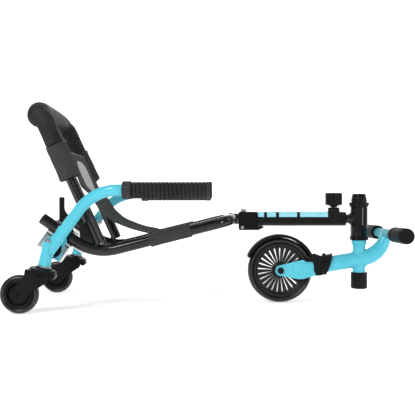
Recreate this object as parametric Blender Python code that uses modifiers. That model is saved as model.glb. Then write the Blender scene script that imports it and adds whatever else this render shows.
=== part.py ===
"""Drift kart: a low three-wheeled kart that a child steers with the feet.

Two levers beside the seat tip the rear casters until their swivel axes stand upright and the kart can spin
round. Metres, +Z up, +X forward. The origin is on the floor, midway along the overall length.
"""

from math import acos, cos, pi, radians, sin, sqrt, tan

import bmesh
import bpy
from mathutils import Matrix, Vector

GAP = 0.0003
# How far a welded piece reaches into the one that it is welded to
WELD = 0.0008

# Bent tubes of the main frame
TUBE_R = 0.0143
TUBE_WALL = 0.0020
RAIL_Y = 0.1310
RAIL_LOW_X = -0.2877
RAIL_LOW_Z = 0.1402
RAIL_TAIL = 0.1593
TAIL_RISE = radians(35.0)
FRONT_RISE = radians(14.2)
RAIL_BEND_R = 0.125
CROSS_X = 0.059
CROSS_BEND_R = 0.050
END_CAP_PLUG = 0.018
END_CAP_RIM = 0.002

# Seat hoop
HOOP_LEAN = radians(24.4)
HOOP_FOOT_X = -0.2650
HOOP_TOP_Z = 0.5020
HOOP_BEND_R = 0.045
SPIGOT_WALL = 0.0020
SPIGOT_LENGTH = 0.085
LEG_BOLT_UP = 0.066
LEG_BOLT_R = 0.0030
LEG_BOLT_AF = 0.0100
LEG_BOLT_HEAD = 0.0080
GUSSET_THICK = 0.004
GUSSET_TOP = 0.074
GUSSET_REACH = 0.0125

# Lug on the tail of each rail
LUG_THICK = 0.005
LUG_X = -0.3728
LUG_WIDTH = 0.0132
LUG_TOP_Z = 0.2855
LUG_FOOT = 0.046
LUG_FLARE_R = 0.025
LUG_SINK = 0.0023

# Pivot bracket under each rail tail
BRACKET_START = 0.0291
BRACKET_LENGTH = 0.0725
BRACKET_DEPTH = 0.0490
BRACKET_SHEET = 0.0025
BRACKET_FLANGE = 0.0255
BRACKET_WEB_Y = 0.1205
BRACKET_SEAT = 0.0300
BOLT_SPACING = 0.0520
BOLT_R = 0.0040
BOLT_HEAD_AF = 0.0130
BOLT_HEAD = 0.0053
BOLT_NUT = 0.0065
BOLT_TAIL = 0.0080
WASHER_R = 0.0085
WASHER = 0.0016

# Levers
PIVOT_X = -0.3870
PIVOT_Z = 0.1570
PIVOT_R = 0.0060
PIVOT_DISC_R = 0.0234
PIVOT_DISC = 0.0055
LEVER_PLATE_Y = 0.1480
LEVER_PLATE = 0.0040
LEVER_HUB_R = 0.0150
YOKE_STRIPS = ((-0.3720, -0.3540, 0.1870, 0.1965), (-0.4050, -0.3930, 0.1185, 0.1300))
LEVER_Y = 0.1760
LEVER_SPLAY = 0.0240
LEVER_RISE = radians(54.0)
LEVER_BEND_R = 0.120
LEVER_TOP_Z = 0.3003
LEVER_KNEE_X = -0.2811
GRIP_REAR_X = -0.2105
GRIP_LENGTH = 0.2150
GRIP_R = 0.0198
GRIP_FLANGE_R = 0.0216
GRIP_FLANGE = 0.0220
GRIP_RIBS = 18
GRIP_RIB_DEPTH = 0.0016
GRIP_END = 0.0070

# Caster sleeve at the foot of each lever
CASTER_TILT = radians(13.3)
SLEEVE_FOOT_X = -0.4011
SLEEVE_FOOT_Z = 0.1163
SLEEVE_LENGTH = 0.0593
SLEEVE_R = 0.0150
SLEEVE_WALL = 0.0025

# Casters, measured in a frame that stands on the sleeve's foot and is tilted with it
CASTER_TRAIL = 0.0424
CASTER_DROP = 0.0808
CASTER_WHEEL_R = 0.0475
CASTER_WHEEL_WIDTH = 0.0240
CASTER_HUB_R = 0.0350
CASTER_BORE_R = 0.0045
CASTER_STEM_R = 0.0080
CASTER_CAP_R = 0.0125
CASTER_RACE_R = 0.0330
CASTER_WASHER_R = 0.0165
CASTER_WASHER = 0.0026
CASTER_RACE_TOP = 0.0036
CASTER_RACE = 0.0105
CASTER_CROWN_TOP = 0.0160
CASTER_CROWN = 0.0070
CASTER_CHEEK = 0.0030
CASTER_CHEEK_GAP = 0.0145
CASTER_AXLE_END_R = 0.0185
CASTER_NOSE_FRONT = 0.0340
CASTER_NOSE_DEPTH = 0.0240

# Telescopic spine
OUTER_TUBE = 0.0380
OUTER_WALL = 0.0020
OUTER_CORNER_R = 0.0060
OUTER_REAR_X = 0.1080
OUTER_FRONT_X = 0.3780
INNER_CLEAR = 0.0005
INNER_LENGTH = 0.2200
INNER_WALL = 0.0020
INNER_CORNER_R = 0.0040
NECK_R = 0.0114
NECK_FLARE_R = 0.0140
STUB_R = 0.0149
STUB_WALL = 0.0030
STUB_START = 0.0042

# Coupler between the main frame and the spine
COUPLER_REAR_X = 0.0844
COUPLER_FRONT_X = 0.1347
COUPLER_LIP_X = 0.1575
COUPLER_SHEET = 0.0035
COUPLER_TOP = 0.0030
COUPLER_FOOT_Z = 0.1975
COUPLER_CORNER_R = 0.0080
COUPLER_BOLT_X = 0.0970
COUPLER_PIN_X = 0.0925
COUPLER_PIN_Z = 0.2050
COUPLER_PIN_R = 0.0025
COUPLER_SCREW_R = 0.0020
COUPLER_LIP_DROP = 0.0010
COUPLER_SCREWS = ((0.1270, 0.2370), (0.1290, 0.2275))

# Clamp knob
KNOB_X = 0.3448
KNOB_R = 0.0228
KNOB_HEIGHT = 0.0320
KNOB_FOOT_Z = 0.2668
KNOB_FLUTES = 14
KNOB_FLUTE_R = 0.0022
KNOB_NECK_R = 0.0090
KNOB_STUD_R = 0.0040
COLLAR_R = 0.0156
COLLAR_TOP_Z = 0.2590

# Steering head
STEER_X = 0.4141
HEAD_R = 0.0227
HEAD_WALL = 0.0030
HEAD_FOOT_Z = 0.1807
HEAD_TOP_Z = 0.2585
UPPER_CUP_R = 0.0274
UPPER_CUP_TOP_Z = 0.2725
LOWER_CUP_R = 0.0254
LOWER_CUP_FOOT_Z = 0.1702
CUP_SKIRT = 0.0090
CUP_WALL = 0.0022
BEARING_HEIGHT = 0.0080
STEERER_R = 0.0127
CROWN_R = 0.0206
CROWN_FOOT_Z = 0.1565
COLUMN_R = 0.0172
COLUMN_FOOT_Z = 0.0814
COLUMN_SPIGOT_R = 0.0110
TOP_NUT_R = 0.0210
TOP_NUT_TOP_Z = 0.2965
TOP_NUT_NOTCHES = 8

# Fork
FORK_R = 0.0213
FORK_TIP_R = 0.0134
FORK_WALL = 0.0025
FORK_X = 0.3486
FORK_Z = 0.1066
FORK_SLOPE = radians(9.5)
FORK_REAR_X = 0.2920
FORK_TIP_SLOPE = radians(80.0)
FORK_BEND_R = 0.080
PEG_BAR_X = 0.4885
PEG_BAR_Z = 0.1875
PEG_BAR_R = 0.0127
PEG_BAR_WALL = 0.0020
PEG_BAR_HALF = 0.1560
PEG_R = 0.0199
PEG_LENGTH = 0.0930
PEG_OUTER_Y = PEG_BAR_HALF + 0.0110
PEG_INNER_Y = PEG_OUTER_Y - PEG_LENGTH
PEG_GROOVES = (0.0800, 0.0180)
BUMPER_R = 0.0218
BUMPER_FOOT_Z = 0.0370
FORK_PLATE = 0.0035
FORK_PLATE_END_R = 0.0143
FORK_PLATE_FRONT_X = 0.3250
COLLAR_SHEET = 0.0035
COLLAR_SCREW_X = 0.2950
COLLAR_SCREW_Z = 0.1084
COLLAR_SCREW_R = 0.0025

# Front wheel and fender
FRONT_AXLE_X = 0.1960
FRONT_WHEEL_R = 0.0880
WHEEL_ROOM = 0.0030
FRONT_TYRE_WIDTH = 0.0340
FRONT_RIM_R = 0.0720
FRONT_RIM_WIDTH = 0.0300
FRONT_HUB_WIDTH = 0.0380
SPOKES = 25
SPOKE_INNER_R = 0.0210
SPOKE_OUTER_R = 0.0620
WEB_HALF = 0.0080
SLOT_SHARE_IN = 0.48
SLOT_SHARE_OUT = 0.42
FRONT_BEARING_R = 0.0110
FRONT_BEARING = 0.0070
FRONT_AXLE_R = 0.0050
AXLE_CAP_R = 0.0087
FENDER_R = 0.0976
FENDER_SHEET = 0.0025
FENDER_HALF = 0.0215
FENDER_SKIRT = 0.0085
FENDER_FRONT = radians(24.0)
FENDER_REAR = radians(158.0)

# Seat fabric and padding
COVER_R = 0.0238
COVER_TOP_R = 0.0300
COVER_SWELL = 0.035
COVER_FOOT_Z = 0.4150
LEG_SLEEVE_R = 0.0272
LEG_SLEEVE_FOOT_Z = 0.3330
FABRIC = 0.0026
PANEL_HALF = 0.1030
SLING_HALF = 0.1135
SLING_LIFT = 0.0160
POCKET_WALL = 0.0022
POCKET_REAR_X = -0.1470
POCKET_FRONT_X = -0.0440
SLING_BACK = ((-0.3780, 0.4400), (-0.3580, 0.4000), (-0.3380, 0.3600), (-0.3260, 0.3350), (-0.3160, 0.3140))
SLING_SEAT = ((-0.3040, 0.2950), (-0.2870, 0.2700), (-0.2750, 0.2525), (-0.2620, 0.2400), (-0.2450, 0.2265),
              (-0.2240, 0.2170), (-0.1990, 0.2075), (-0.1735, 0.2005), (-0.1560, 0.1968))

TUBE_SIDES = 4
FINE_STEPS = 20
ROUND_STEPS = 14
SMALL_STEPS = 8


def clear_scene():
    for thing in list(bpy.data.objects):
        bpy.data.objects.remove(thing, do_unlink=True)


def new_collection(name):
    collection = bpy.data.collections.new(name)
    bpy.context.scene.collection.children.link(collection)
    return collection


def new_material(name, color, roughness, metallic=0.0):
    material = bpy.data.materials.new(name)
    material.use_nodes = True
    shader = material.node_tree.nodes["Principled BSDF"]
    shader.inputs["Base Color"].default_value = (*color, 1.0)
    shader.inputs["Roughness"].default_value = roughness
    shader.inputs["Metallic"].default_value = metallic
    material.diffuse_color = (*color, 1.0)
    return material


def add(name, data, material=None, parent=None, at=(0.0, 0.0, 0.0), turn=(0.0, 0.0, 0.0)):
    """Puts a mesh or curve in the kart's collection."""
    thing = bpy.data.objects.new(name, data)
    KART.objects.link(thing)
    thing.parent = parent
    thing.location = at
    thing.rotation_euler = turn
    if material:
        data.materials.append(material)
    return thing


def as_cutter(thing):
    """Moves a helper out of the kart, where it only cuts."""
    KART.objects.unlink(thing)
    CUTTERS.objects.link(thing)
    thing.hide_render = True
    thing.display_type = "WIRE"
    return thing


def boolean(thing, other, operation="DIFFERENCE"):
    modifier = thing.modifiers.new(f"{operation.lower()}_{other.name}", "BOOLEAN")
    modifier.operation = operation
    modifier.object = other
    modifier.solver = "EXACT"
    return thing


def joined(thing, *others):
    """Makes one solid of several that overlap."""
    for other in others:
        boolean(thing, as_cutter(other), "UNION")
    return thing


def cut(thing, *others):
    for other in others:
        boolean(thing, as_cutter(other))
    return thing


def shade(mesh, angle=radians(35.0)):
    mesh.shade_smooth()
    mesh.set_sharp_from_angle(angle=angle)


def meshed(curve_thing):
    """Replaces a curve object by its mesh, with the caps welded on."""
    name = curve_thing.name
    bpy.context.view_layer.update()
    graph = bpy.context.evaluated_depsgraph_get()
    mesh = bpy.data.meshes.new_from_object(curve_thing.evaluated_get(graph))
    work = bmesh.new()
    work.from_mesh(mesh)
    bmesh.ops.remove_doubles(work, verts=work.verts, dist=1e-6)
    bmesh.ops.recalc_face_normals(work, faces=work.faces)
    work.to_mesh(mesh)
    work.free()
    shade(mesh)
    parent = curve_thing.parent
    place = curve_thing.matrix_basis.copy()
    bpy.data.objects.remove(curve_thing)
    thing = add(name, mesh, parent=parent)
    thing.matrix_basis = place
    return thing


def fillet_path(corners, radii, step=radians(17.0)):
    """The points of a path whose inner corners are rounded to the given radii."""
    path = [Vector(corners[0])]
    for before, corner, after, radius in zip(corners, corners[1:], corners[2:], radii):
        corner = Vector(corner)
        back = (Vector(before) - corner).normalized()
        ahead = (Vector(after) - corner).normalized()
        opening = acos(max(-1.0, min(1.0, back.dot(ahead))))
        if radius <= 0.0 or opening > pi - 1e-4:
            path.append(corner)
            continue
        middle = (back + ahead).normalized()
        centre = corner + middle * (radius / sin(opening / 2))
        start = corner + back * (radius / tan(opening / 2)) - centre
        axis = start.cross(corner - centre).normalized()
        sweep = pi - opening
        count = max(2, round(sweep / step))
        for index in range(count + 1):
            path.append(centre + Matrix.Rotation(sweep * index / count, 3, axis) @ start)
    path.append(Vector(corners[-1]))
    return path


def swept_curve(name, points, radius, scales=None, sides=TUBE_SIDES, caps=True, cyclic=False):
    curve = bpy.data.curves.new(name, "CURVE")
    curve.dimensions = "3D"
    curve.bevel_depth = radius
    curve.bevel_resolution = sides
    curve.use_fill_caps = caps
    spline = curve.splines.new("POLY")
    spline.points.add(len(points) - 1)
    spline.use_cyclic_u = cyclic
    for index, place in enumerate(points):
        spline.points[index].co = (*place, 1.0)
        spline.points[index].radius = scales[index] if scales else 1.0
    return curve


def rod(name, points, radius, material=None, parent=None, scales=None, sides=TUBE_SIDES):
    """A solid round bar along a path."""
    curve = swept_curve(name, points, radius, scales, sides)
    thing = meshed(add(name, curve, parent=parent))
    if material:
        thing.data.materials.append(material)
    return thing


def pipe(name, points, radius, wall, material=None, parent=None, scales=None, sides=TUBE_SIDES):
    """A round tube with open ends along a path."""
    curve = swept_curve(name, points, radius, scales, sides, caps=False)
    thing = meshed(add(name, curve, parent=parent))
    shell = thing.modifiers.new("wall", "SOLIDIFY")
    shell.thickness = wall
    shell.offset = -1.0
    shell.use_even_offset = True
    if material:
        thing.data.materials.append(material)
    return thing


def turned(name, profile, material=None, parent=None, at=(0.0, 0.0, 0.0), turn=(0.0, 0.0, 0.0),
           steps=ROUND_STEPS, ring=False):
    """A turned piece about its own Z. The profile runs down the outer side, as (radius, height)."""
    mesh = bpy.data.meshes.new(name)
    count = len(profile)
    edges = [(index, index + 1) for index in range(count - 1)]
    if ring:
        edges.append((count - 1, 0))
    mesh.from_pydata([(radius, 0.0, height) for radius, height in profile], edges, [])
    thing = add(name, mesh, material, parent, at, turn)
    screw = thing.modifiers.new("turn", "SCREW")
    screw.steps = steps
    screw.render_steps = steps
    screw.use_merge_vertices = True
    screw.merge_threshold = 0.00005
    screw.use_smooth_shade = True
    return thing


def outline_points(corners, radii, step=radians(22.0)):
    """A closed outline with its corners rounded, as flat points."""
    count = len(corners)
    points = []
    for index, corner in enumerate(corners):
        radius = radii[index] if isinstance(radii, (list, tuple)) else radii
        around = [(*corners[index - 1], 0.0), (*corner, 0.0), (*corners[(index + 1) % count], 0.0)]
        if radius <= 0.0:
            points.append(around[1][:2])
        else:
            points += [tuple(place[:2]) for place in fillet_path(around, [radius], step)[1:-1]]
    return points


def circle_points(x, y, radius, count=16, start=0.0):
    return [
        (x + radius * cos(start + 2 * pi * index / count), y + radius * sin(start + 2 * pi * index / count))
        for index in range(count)
    ]


def flat(name, outlines, thickness, material=None, parent=None, at=(0.0, 0.0, 0.0), turn=(0.0, 0.0, 0.0)):
    """A flat plate: an outline, and holes as further outlines. It lies in its own XY plane, centred in depth."""
    curve = bpy.data.curves.new(name, "CURVE")
    curve.dimensions = "2D"
    curve.fill_mode = "BOTH"
    curve.extrude = thickness / 2
    for outline in outlines:
        spline = curve.splines.new("POLY")
        spline.points.add(len(outline) - 1)
        spline.use_cyclic_u = True
        for index, (x, y) in enumerate(outline):
            spline.points[index].co = (x, y, 0.0, 1.0)
    thing = add(name, curve, parent=parent, at=at, turn=turn)
    thing = meshed(thing)
    if material:
        thing.data.materials.append(material)
    return thing


def upright(name, outlines, thickness, y, material=None, parent=None):
    """A plate that stands along the kart: its outline is in X and Z, and y is its middle plane."""
    return flat(name, outlines, thickness, material, parent, (0.0, y, 0.0), (pi / 2, 0.0, 0.0))


def block(name, low, high, material=None, parent=None):
    mesh = bpy.data.meshes.new(name)
    work = bmesh.new()
    bmesh.ops.create_cube(work, size=1.0)
    size = [top - foot for foot, top in zip(low, high)]
    bmesh.ops.scale(work, vec=size, verts=work.verts)
    bmesh.ops.translate(work, vec=[(top + foot) / 2 for foot, top in zip(low, high)], verts=work.verts)
    work.to_mesh(mesh)
    work.free()
    return add(name, mesh, material, parent)


def cylinder(name, radius, height, material=None, parent=None, at=(0.0, 0.0, 0.0), turn=(0.0, 0.0, 0.0),
             count=16):
    """A cylinder that stands on its own origin, along its own Z."""
    mesh = bpy.data.meshes.new(name)
    work = bmesh.new()
    bmesh.ops.create_cone(work, cap_ends=True, segments=count, radius1=radius, radius2=radius, depth=height)
    bmesh.ops.translate(work, vec=(0.0, 0.0, height / 2), verts=work.verts)
    work.to_mesh(mesh)
    work.free()
    shade(mesh)
    return add(name, mesh, material, parent, at, turn)


def empty(name, at, turn=(0.0, 0.0, 0.0), parent=None):
    thing = bpy.data.objects.new(name, None)
    KART.objects.link(thing)
    thing.empty_display_size = 0.03
    thing.location = at
    thing.rotation_euler = turn
    thing.parent = parent
    return thing


def direction(slope):
    """The unit vector in the side plane that rises by the slope towards the front."""
    return Vector((cos(slope), 0.0, sin(slope)))


def aim(along):
    """The rotation that points a piece's own Z along a vector."""
    return Vector(along).to_track_quat("Z", "Y").to_euler()


def tail_end(side):
    return Vector((RAIL_LOW_X - RAIL_TAIL * cos(TAIL_RISE), side * RAIL_Y, RAIL_LOW_Z + RAIL_TAIL * sin(TAIL_RISE)))


def on_tail(side, along, above=0.0):
    """A point on a rail's tail: along it from the rear end, and above its middle line."""
    ahead = direction(-TAIL_RISE)
    up = direction(pi / 2 - TAIL_RISE)
    return tail_end(side) + ahead * along + up * above


def rail_corner(side):
    return Vector((RAIL_LOW_X, side * RAIL_Y, RAIL_LOW_Z))


def on_rail(side, x, above=0.0):
    """A point on a rail's straight front run."""
    up = direction(pi / 2 + FRONT_RISE)
    place = Vector((x, side * RAIL_Y, RAIL_LOW_Z + (x - RAIL_LOW_X) * tan(FRONT_RISE)))
    return place + up * above


SPINE_Z = on_rail(1, CROSS_X).z
INNER_TUBE = OUTER_TUBE - 2 * OUTER_WALL - 2 * INNER_CLEAR
COUPLER_IN = OUTER_TUBE / 2 + GAP
TUBE_FACETS = 4 + 2 * TUBE_SIDES
LEVER_LEG = (LEVER_TOP_Z - SLEEVE_FOOT_Z - 0.028) / sin(LEVER_RISE)
# What slides into a bent tube is this big
TUBE_BORE_R = (TUBE_R - TUBE_WALL) * cos(pi / TUBE_FACETS) - GAP
COUPLER_OUT = COUPLER_IN + COUPLER_SHEET
RAIL_BEND_LIFT = RAIL_BEND_R * (1 / cos((TAIL_RISE + FRONT_RISE) / 2) - 1)
HOOP_LENGTH = (HOOP_TOP_Z - RAIL_LOW_Z - RAIL_BEND_LIFT) / cos(HOOP_LEAN)


def frame_path(cut_back=0.0):
    ends = [on_tail(side, cut_back) for side in (-1, 1)]
    corners = [ends[0], rail_corner(-1), on_rail(-1, CROSS_X), on_rail(1, CROSS_X), rail_corner(1), ends[1]]
    return fillet_path(corners, [RAIL_BEND_R, CROSS_BEND_R, CROSS_BEND_R, RAIL_BEND_R])


def leg_point(side, up):
    """A point on a leg of the seat hoop, measured along it from the rail's middle line."""
    lean = direction(pi / 2 + HOOP_LEAN)
    foot = Vector((HOOP_FOOT_X, side * RAIL_Y, RAIL_LOW_Z + RAIL_BEND_LIFT))
    return foot + lean * up


def leg_height(z):
    """How far along a leg a height above the floor is."""
    return (z - RAIL_LOW_Z - RAIL_BEND_LIFT) / cos(HOOP_LEAN)


def hoop_path(start=0.0):
    corners = [leg_point(-1, start), leg_point(-1, HOOP_LENGTH), leg_point(1, HOOP_LENGTH), leg_point(1, start)]
    return fillet_path(corners, [HOOP_BEND_R, HOOP_BEND_R])


def bore_for(radius, facets=SMALL_STEPS):
    """The radius of a faceted bore whose flats keep the gap to a round bar."""
    return (radius + GAP) / cos(pi / facets)


def hex_bolt(name, radius, length, flats, head, at, along, material=None):
    """A bolt whose head rests on the point and whose shank runs along the vector."""
    turn = aim(along)
    away = Vector(along).normalized()
    shank = cylinder(name, radius, length + head / 2, material, at=Vector(at) - away * head / 2, turn=turn,
                     count=SMALL_STEPS)
    top = cylinder(name + "_head", flats / sqrt(3), head, at=Vector(at) - away * head, turn=turn, count=6)
    return joined(shank, top)


def build_main_frame():
    """The welded main frame: bent rails with their crosspiece, spigots, lugs, one gusset and the spine's stub."""
    weld_space = as_cutter(rod("weld_space", frame_path(), TUBE_R - WELD))
    frame = pipe("main_frame", frame_path(END_CAP_RIM + GAP), TUBE_R, TUBE_WALL, GLOSS_BLACK)
    for side in (-1, 1):
        joined(frame, seat_spigot(side, weld_space), rear_lug(side, weld_space))
    joined(frame, leg_gusset(-1, weld_space))
    stub = pipe("frame_stub", [(CROSS_X + STUB_START, 0.0, SPINE_Z), (OUTER_REAR_X - GAP, 0.0, SPINE_Z)], STUB_R, STUB_WALL)
    boolean(stub, weld_space)
    joined(frame, stub)
    for side, along in bracket_bolt_places():
        hole = cylinder("rail_bolt_hole", bore_for(BOLT_R), 4 * TUBE_R, at=on_tail(side, along, -2 * TUBE_R),
                        turn=aim(direction(pi / 2 - TAIL_RISE)), count=SMALL_STEPS)
        cut(frame, hole)
    for side in (-1, 1):
        boolean(frame, leg_bolt_hole(side))
    boolean(frame, coupler_bolt_hole())
    return frame


def leg_bolt_hole(side):
    return as_cutter(cylinder("leg_bolt_hole", bore_for(LEG_BOLT_R), 2 * TUBE_R, at=leg_point(side, LEG_BOLT_UP),
                              turn=aim(direction(HOOP_LEAN)), count=SMALL_STEPS))


def coupler_bolt_hole():
    return as_cutter(cylinder("coupler_bolt_hole", bore_for(BOLT_R), 0.08, at=(COUPLER_BOLT_X, 0.0, SPINE_Z - 0.020),
                              count=SMALL_STEPS))


def bracket_bolt_places():
    middle = BRACKET_START + BRACKET_LENGTH / 2
    return [(side, middle + offset) for side in (-1, 1) for offset in (-BOLT_SPACING / 2, BOLT_SPACING / 2)]


def build_rail_end_caps():
    plug_r = TUBE_BORE_R
    profile = [(0.0, 0.0), (TUBE_R - 0.001, 0.0), (TUBE_R, -0.0008), (TUBE_R, -END_CAP_RIM), (plug_r, -END_CAP_RIM),
               (plug_r, -END_CAP_PLUG), (0.0, -END_CAP_PLUG)]
    for side, word in ((-1, "right"), (1, "left")):
        turned(f"rail_cap_{word}", profile, PLASTIC_BLACK, at=tail_end(side), turn=aim(-direction(-TAIL_RISE)),
               steps=SMALL_STEPS)


def build_seat_hoop():
    """The hoop slides over two spigots that are welded to the rails, and a bolt holds each leg."""
    rail_space = as_cutter(rod("rail_space", frame_path(), TUBE_R + GAP))
    hoop = pipe("seat_hoop", hoop_path(), TUBE_R, TUBE_WALL, GLOSS_BLACK)
    boolean(hoop, rail_space)
    for side in (-1, 1):
        boolean(hoop, leg_bolt_hole(side))
    return rail_space


def seat_spigot(side, weld_space):
    """The short tube on a rail that a leg of the hoop slides over."""
    line = [leg_point(side, 0.0), leg_point(side, SPIGOT_LENGTH)]
    spigot = pipe("seat_spigot", line, TUBE_BORE_R, SPIGOT_WALL, sides=2)
    return boolean(spigot, weld_space)


def leg_gusset(side, weld_space):
    foot = leg_point(side, 0.0)
    top = leg_point(side, GUSSET_TOP)
    rear_x = top.x - TUBE_R / cos(HOOP_LEAN) - GUSSET_REACH
    rear_foot = tail_end(side).z - tan(TAIL_RISE) * (rear_x - tail_end(side).x)
    corners = [(foot.x, foot.z), (top.x, top.z), (rear_x, top.z), (rear_x, rear_foot)]
    outline = outline_points(corners, [0.0, 0.0, 0.010, 0.0], radians(35.0))
    gusset = upright("leg_gusset", [outline], GUSSET_THICK, side * RAIL_Y)
    inside = rod("leg_inside", [leg_point(side, -0.02), leg_point(side, 0.15)], bore_for(TUBE_R))
    boolean(gusset, weld_space)
    return cut(gusset, inside)


def rear_lug(side, weld_space):
    """An upright lug on the inner side of a rail's tail, with a concave front edge down to its foot."""
    front_x = LUG_X + LUG_WIDTH / 2
    rear_x = LUG_X - LUG_WIDTH / 2
    flare_z = LUG_TOP_Z - LUG_FLARE_R
    flare = [
        (front_x + LUG_FLARE_R * (1 - cos(angle)), flare_z - LUG_FLARE_R * sin(angle))
        for angle in (0.0, radians(18), radians(36), radians(54))
    ]
    end = tail_end(side)
    foot_z = [end.z - LUG_SINK - tan(TAIL_RISE) * (x - end.x) for x in (rear_x, rear_x + LUG_FOOT)]
    outline = [(rear_x, foot_z[0]), (rear_x + LUG_FOOT, foot_z[1]), *reversed(flare)]
    outline += [(front_x, LUG_TOP_Z), (rear_x, LUG_TOP_Z)]
    y = side * (RAIL_Y - TUBE_R + WELD + 0.001 - LUG_THICK / 2)
    return boolean(upright("rear_lug", [outline], LUG_THICK, y), weld_space)


def build_pivot_brackets():
    """A channel under each rail's tail. Its web carries the lever's pivot, and its seat is bolted to the rail."""
    for side, word in ((-1, "right"), (1, "left")):
        half = BRACKET_LENGTH / 2
        web_out = BRACKET_SHEET / 2
        channel = [(-half, -web_out), (half, -web_out), (half, BRACKET_FLANGE), (half - BRACKET_SHEET, BRACKET_FLANGE),
                   (half - BRACKET_SHEET, web_out), (-half + BRACKET_SHEET, web_out),
                   (-half + BRACKET_SHEET, BRACKET_FLANGE), (-half, BRACKET_FLANGE)]
        outline = [(x, side * y) for x, y in channel]
        drop = TUBE_R + GAP + BRACKET_DEPTH / 2
        middle = on_tail(side, BRACKET_START + half, -drop)
        middle.y = side * BRACKET_WEB_Y
        bracket = flat(f"pivot_bracket_{word}", [outline], BRACKET_DEPTH, GREY_STEEL, at=middle,
                       turn=(0.0, TAIL_RISE, 0.0))
        low_y = RAIL_Y - BRACKET_SEAT / 2
        seat = block("bracket_seat", (-half, -BRACKET_SEAT / 2, -BRACKET_SHEET), (half, BRACKET_SEAT / 2, 0.0))
        seat.location = on_tail(side, BRACKET_START + half, -TUBE_R - GAP)
        seat.location.y = side * (low_y + BRACKET_SEAT / 2)
        seat.rotation_euler = (0.0, TAIL_RISE, 0.0)
        joined(bracket, seat)
        for bolt_side, along in bracket_bolt_places():
            if bolt_side == side:
                hole = cylinder("seat_bolt_hole", bore_for(BOLT_R), 0.02, at=on_tail(side, along, -TUBE_R - 0.01),
                                turn=aim(direction(pi / 2 - TAIL_RISE)), count=12)
                cut(bracket, hole)
        pin_hole = cylinder("pin_hole", bore_for(PIVOT_R), 0.02, at=(PIVOT_X, side * BRACKET_WEB_Y + 0.01, PIVOT_Z),
                            turn=(pi / 2, 0.0, 0.0), count=16)
        cut(bracket, pin_hole)


def build_frame_bolts():
    """The bolts that hold the pivot brackets, each with its nut run on, and those that hold the seat hoop."""
    down = -direction(pi / 2 - TAIL_RISE)
    ahead = direction(HOOP_LEAN)
    grip = 2 * TUBE_R + BRACKET_SHEET + 3 * GAP
    for index, (side, along) in enumerate(bracket_bolt_places()):
        name = f"rail_bolt_{index + 1}"
        head_at = on_tail(side, along, TUBE_R + GAP)
        bolt = hex_bolt(name, BOLT_R, grip + BOLT_TAIL, BOLT_HEAD_AF, BOLT_HEAD, head_at, down, ZINC)
        nut = cylinder("rail_nut", BOLT_HEAD_AF / sqrt(3), BOLT_NUT, at=head_at + down * grip, turn=aim(down), count=6)
        joined(bolt, nut)
    for side, word in ((-1, "right"), (1, "left")):
        front = leg_point(side, LEG_BOLT_UP) + ahead * (TUBE_R + GAP)
        bolt = hex_bolt(f"leg_bolt_{word}", LEG_BOLT_R, TUBE_R + 0.006, LEG_BOLT_AF, LEG_BOLT_HEAD, front, -ahead, ZINC)
        dome = [(0.0, 0.0050), (0.0020, 0.0046), (0.0036, 0.0032), (0.0044, 0.0), (0.0, -0.0020)]
        joined(bolt, turned("dome", dome, at=front + ahead * LEG_BOLT_HEAD, turn=aim(ahead), steps=SMALL_STEPS))


def build_pivot_pins():
    """The pins that the levers turn on, each with a broad disc for a head."""
    disc_in = LEVER_PLATE_Y + LEVER_PLATE + GAP
    tail_out = BRACKET_WEB_Y - BRACKET_SHEET / 2 - GAP
    profile = [(0.0, disc_in + PIVOT_DISC), (PIVOT_DISC_R - 0.002, disc_in + PIVOT_DISC),
               (PIVOT_DISC_R, disc_in + PIVOT_DISC - 0.0015), (PIVOT_DISC_R, disc_in), (PIVOT_R, disc_in),
               (PIVOT_R, tail_out), (0.010, tail_out), (0.010, tail_out - 0.005), (0.0, tail_out - 0.005)]
    for side, word in ((-1, "right"), (1, "left")):
        turned(f"pivot_pin_{word}", profile, MATT_BLACK, at=(PIVOT_X, 0.0, PIVOT_Z), turn=(-side * pi / 2, 0.0, 0.0))


def square_tube(name, size, wall, corner_r, rear_x, front_x, material):
    half = size / 2
    outer = outline_points([(-half, -half), (half, -half), (half, half), (-half, half)], corner_r)
    inside = half - wall
    inner_r = max(corner_r - wall, 0.001)
    inner = outline_points([(-inside, -inside), (inside, -inside), (inside, inside), (-inside, inside)], inner_r)
    return flat(name, [outer, inner], front_x - rear_x, material,
                at=((rear_x + front_x) / 2, 0.0, SPINE_Z), turn=(pi / 2, 0.0, pi / 2))


def build_outer_tube():
    """The fixed half of the telescopic spine, with the boss that the clamp knob's stud goes through."""
    outer = square_tube("outer_tube", OUTER_TUBE, OUTER_WALL, OUTER_CORNER_R, OUTER_REAR_X, OUTER_FRONT_X, GLOSS_BLACK)
    cut(outer, cylinder("stud_hole", bore_for(KNOB_STUD_R), 0.03, at=(KNOB_X, 0.0, SPINE_Z), count=SMALL_STEPS))
    for x, z in COUPLER_SCREWS:
        cut(outer, cylinder("coupler_screw_hole", bore_for(COUPLER_SCREW_R), 0.06, at=(x, 0.03, z), turn=(pi / 2, 0.0, 0.0),
                            count=SMALL_STEPS))
    collar_foot = SPINE_Z + OUTER_TUBE / 2 + GAP
    bore = bore_for(KNOB_STUD_R)
    profile = [(bore, COLLAR_TOP_Z), (COLLAR_R - 0.001, COLLAR_TOP_Z), (COLLAR_R, COLLAR_TOP_Z - 0.001),
               (COLLAR_R, collar_foot), (bore, collar_foot)]
    turned("knob_collar", profile, MATT_BLACK, at=(KNOB_X, 0.0, 0.0), ring=True)


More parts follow.
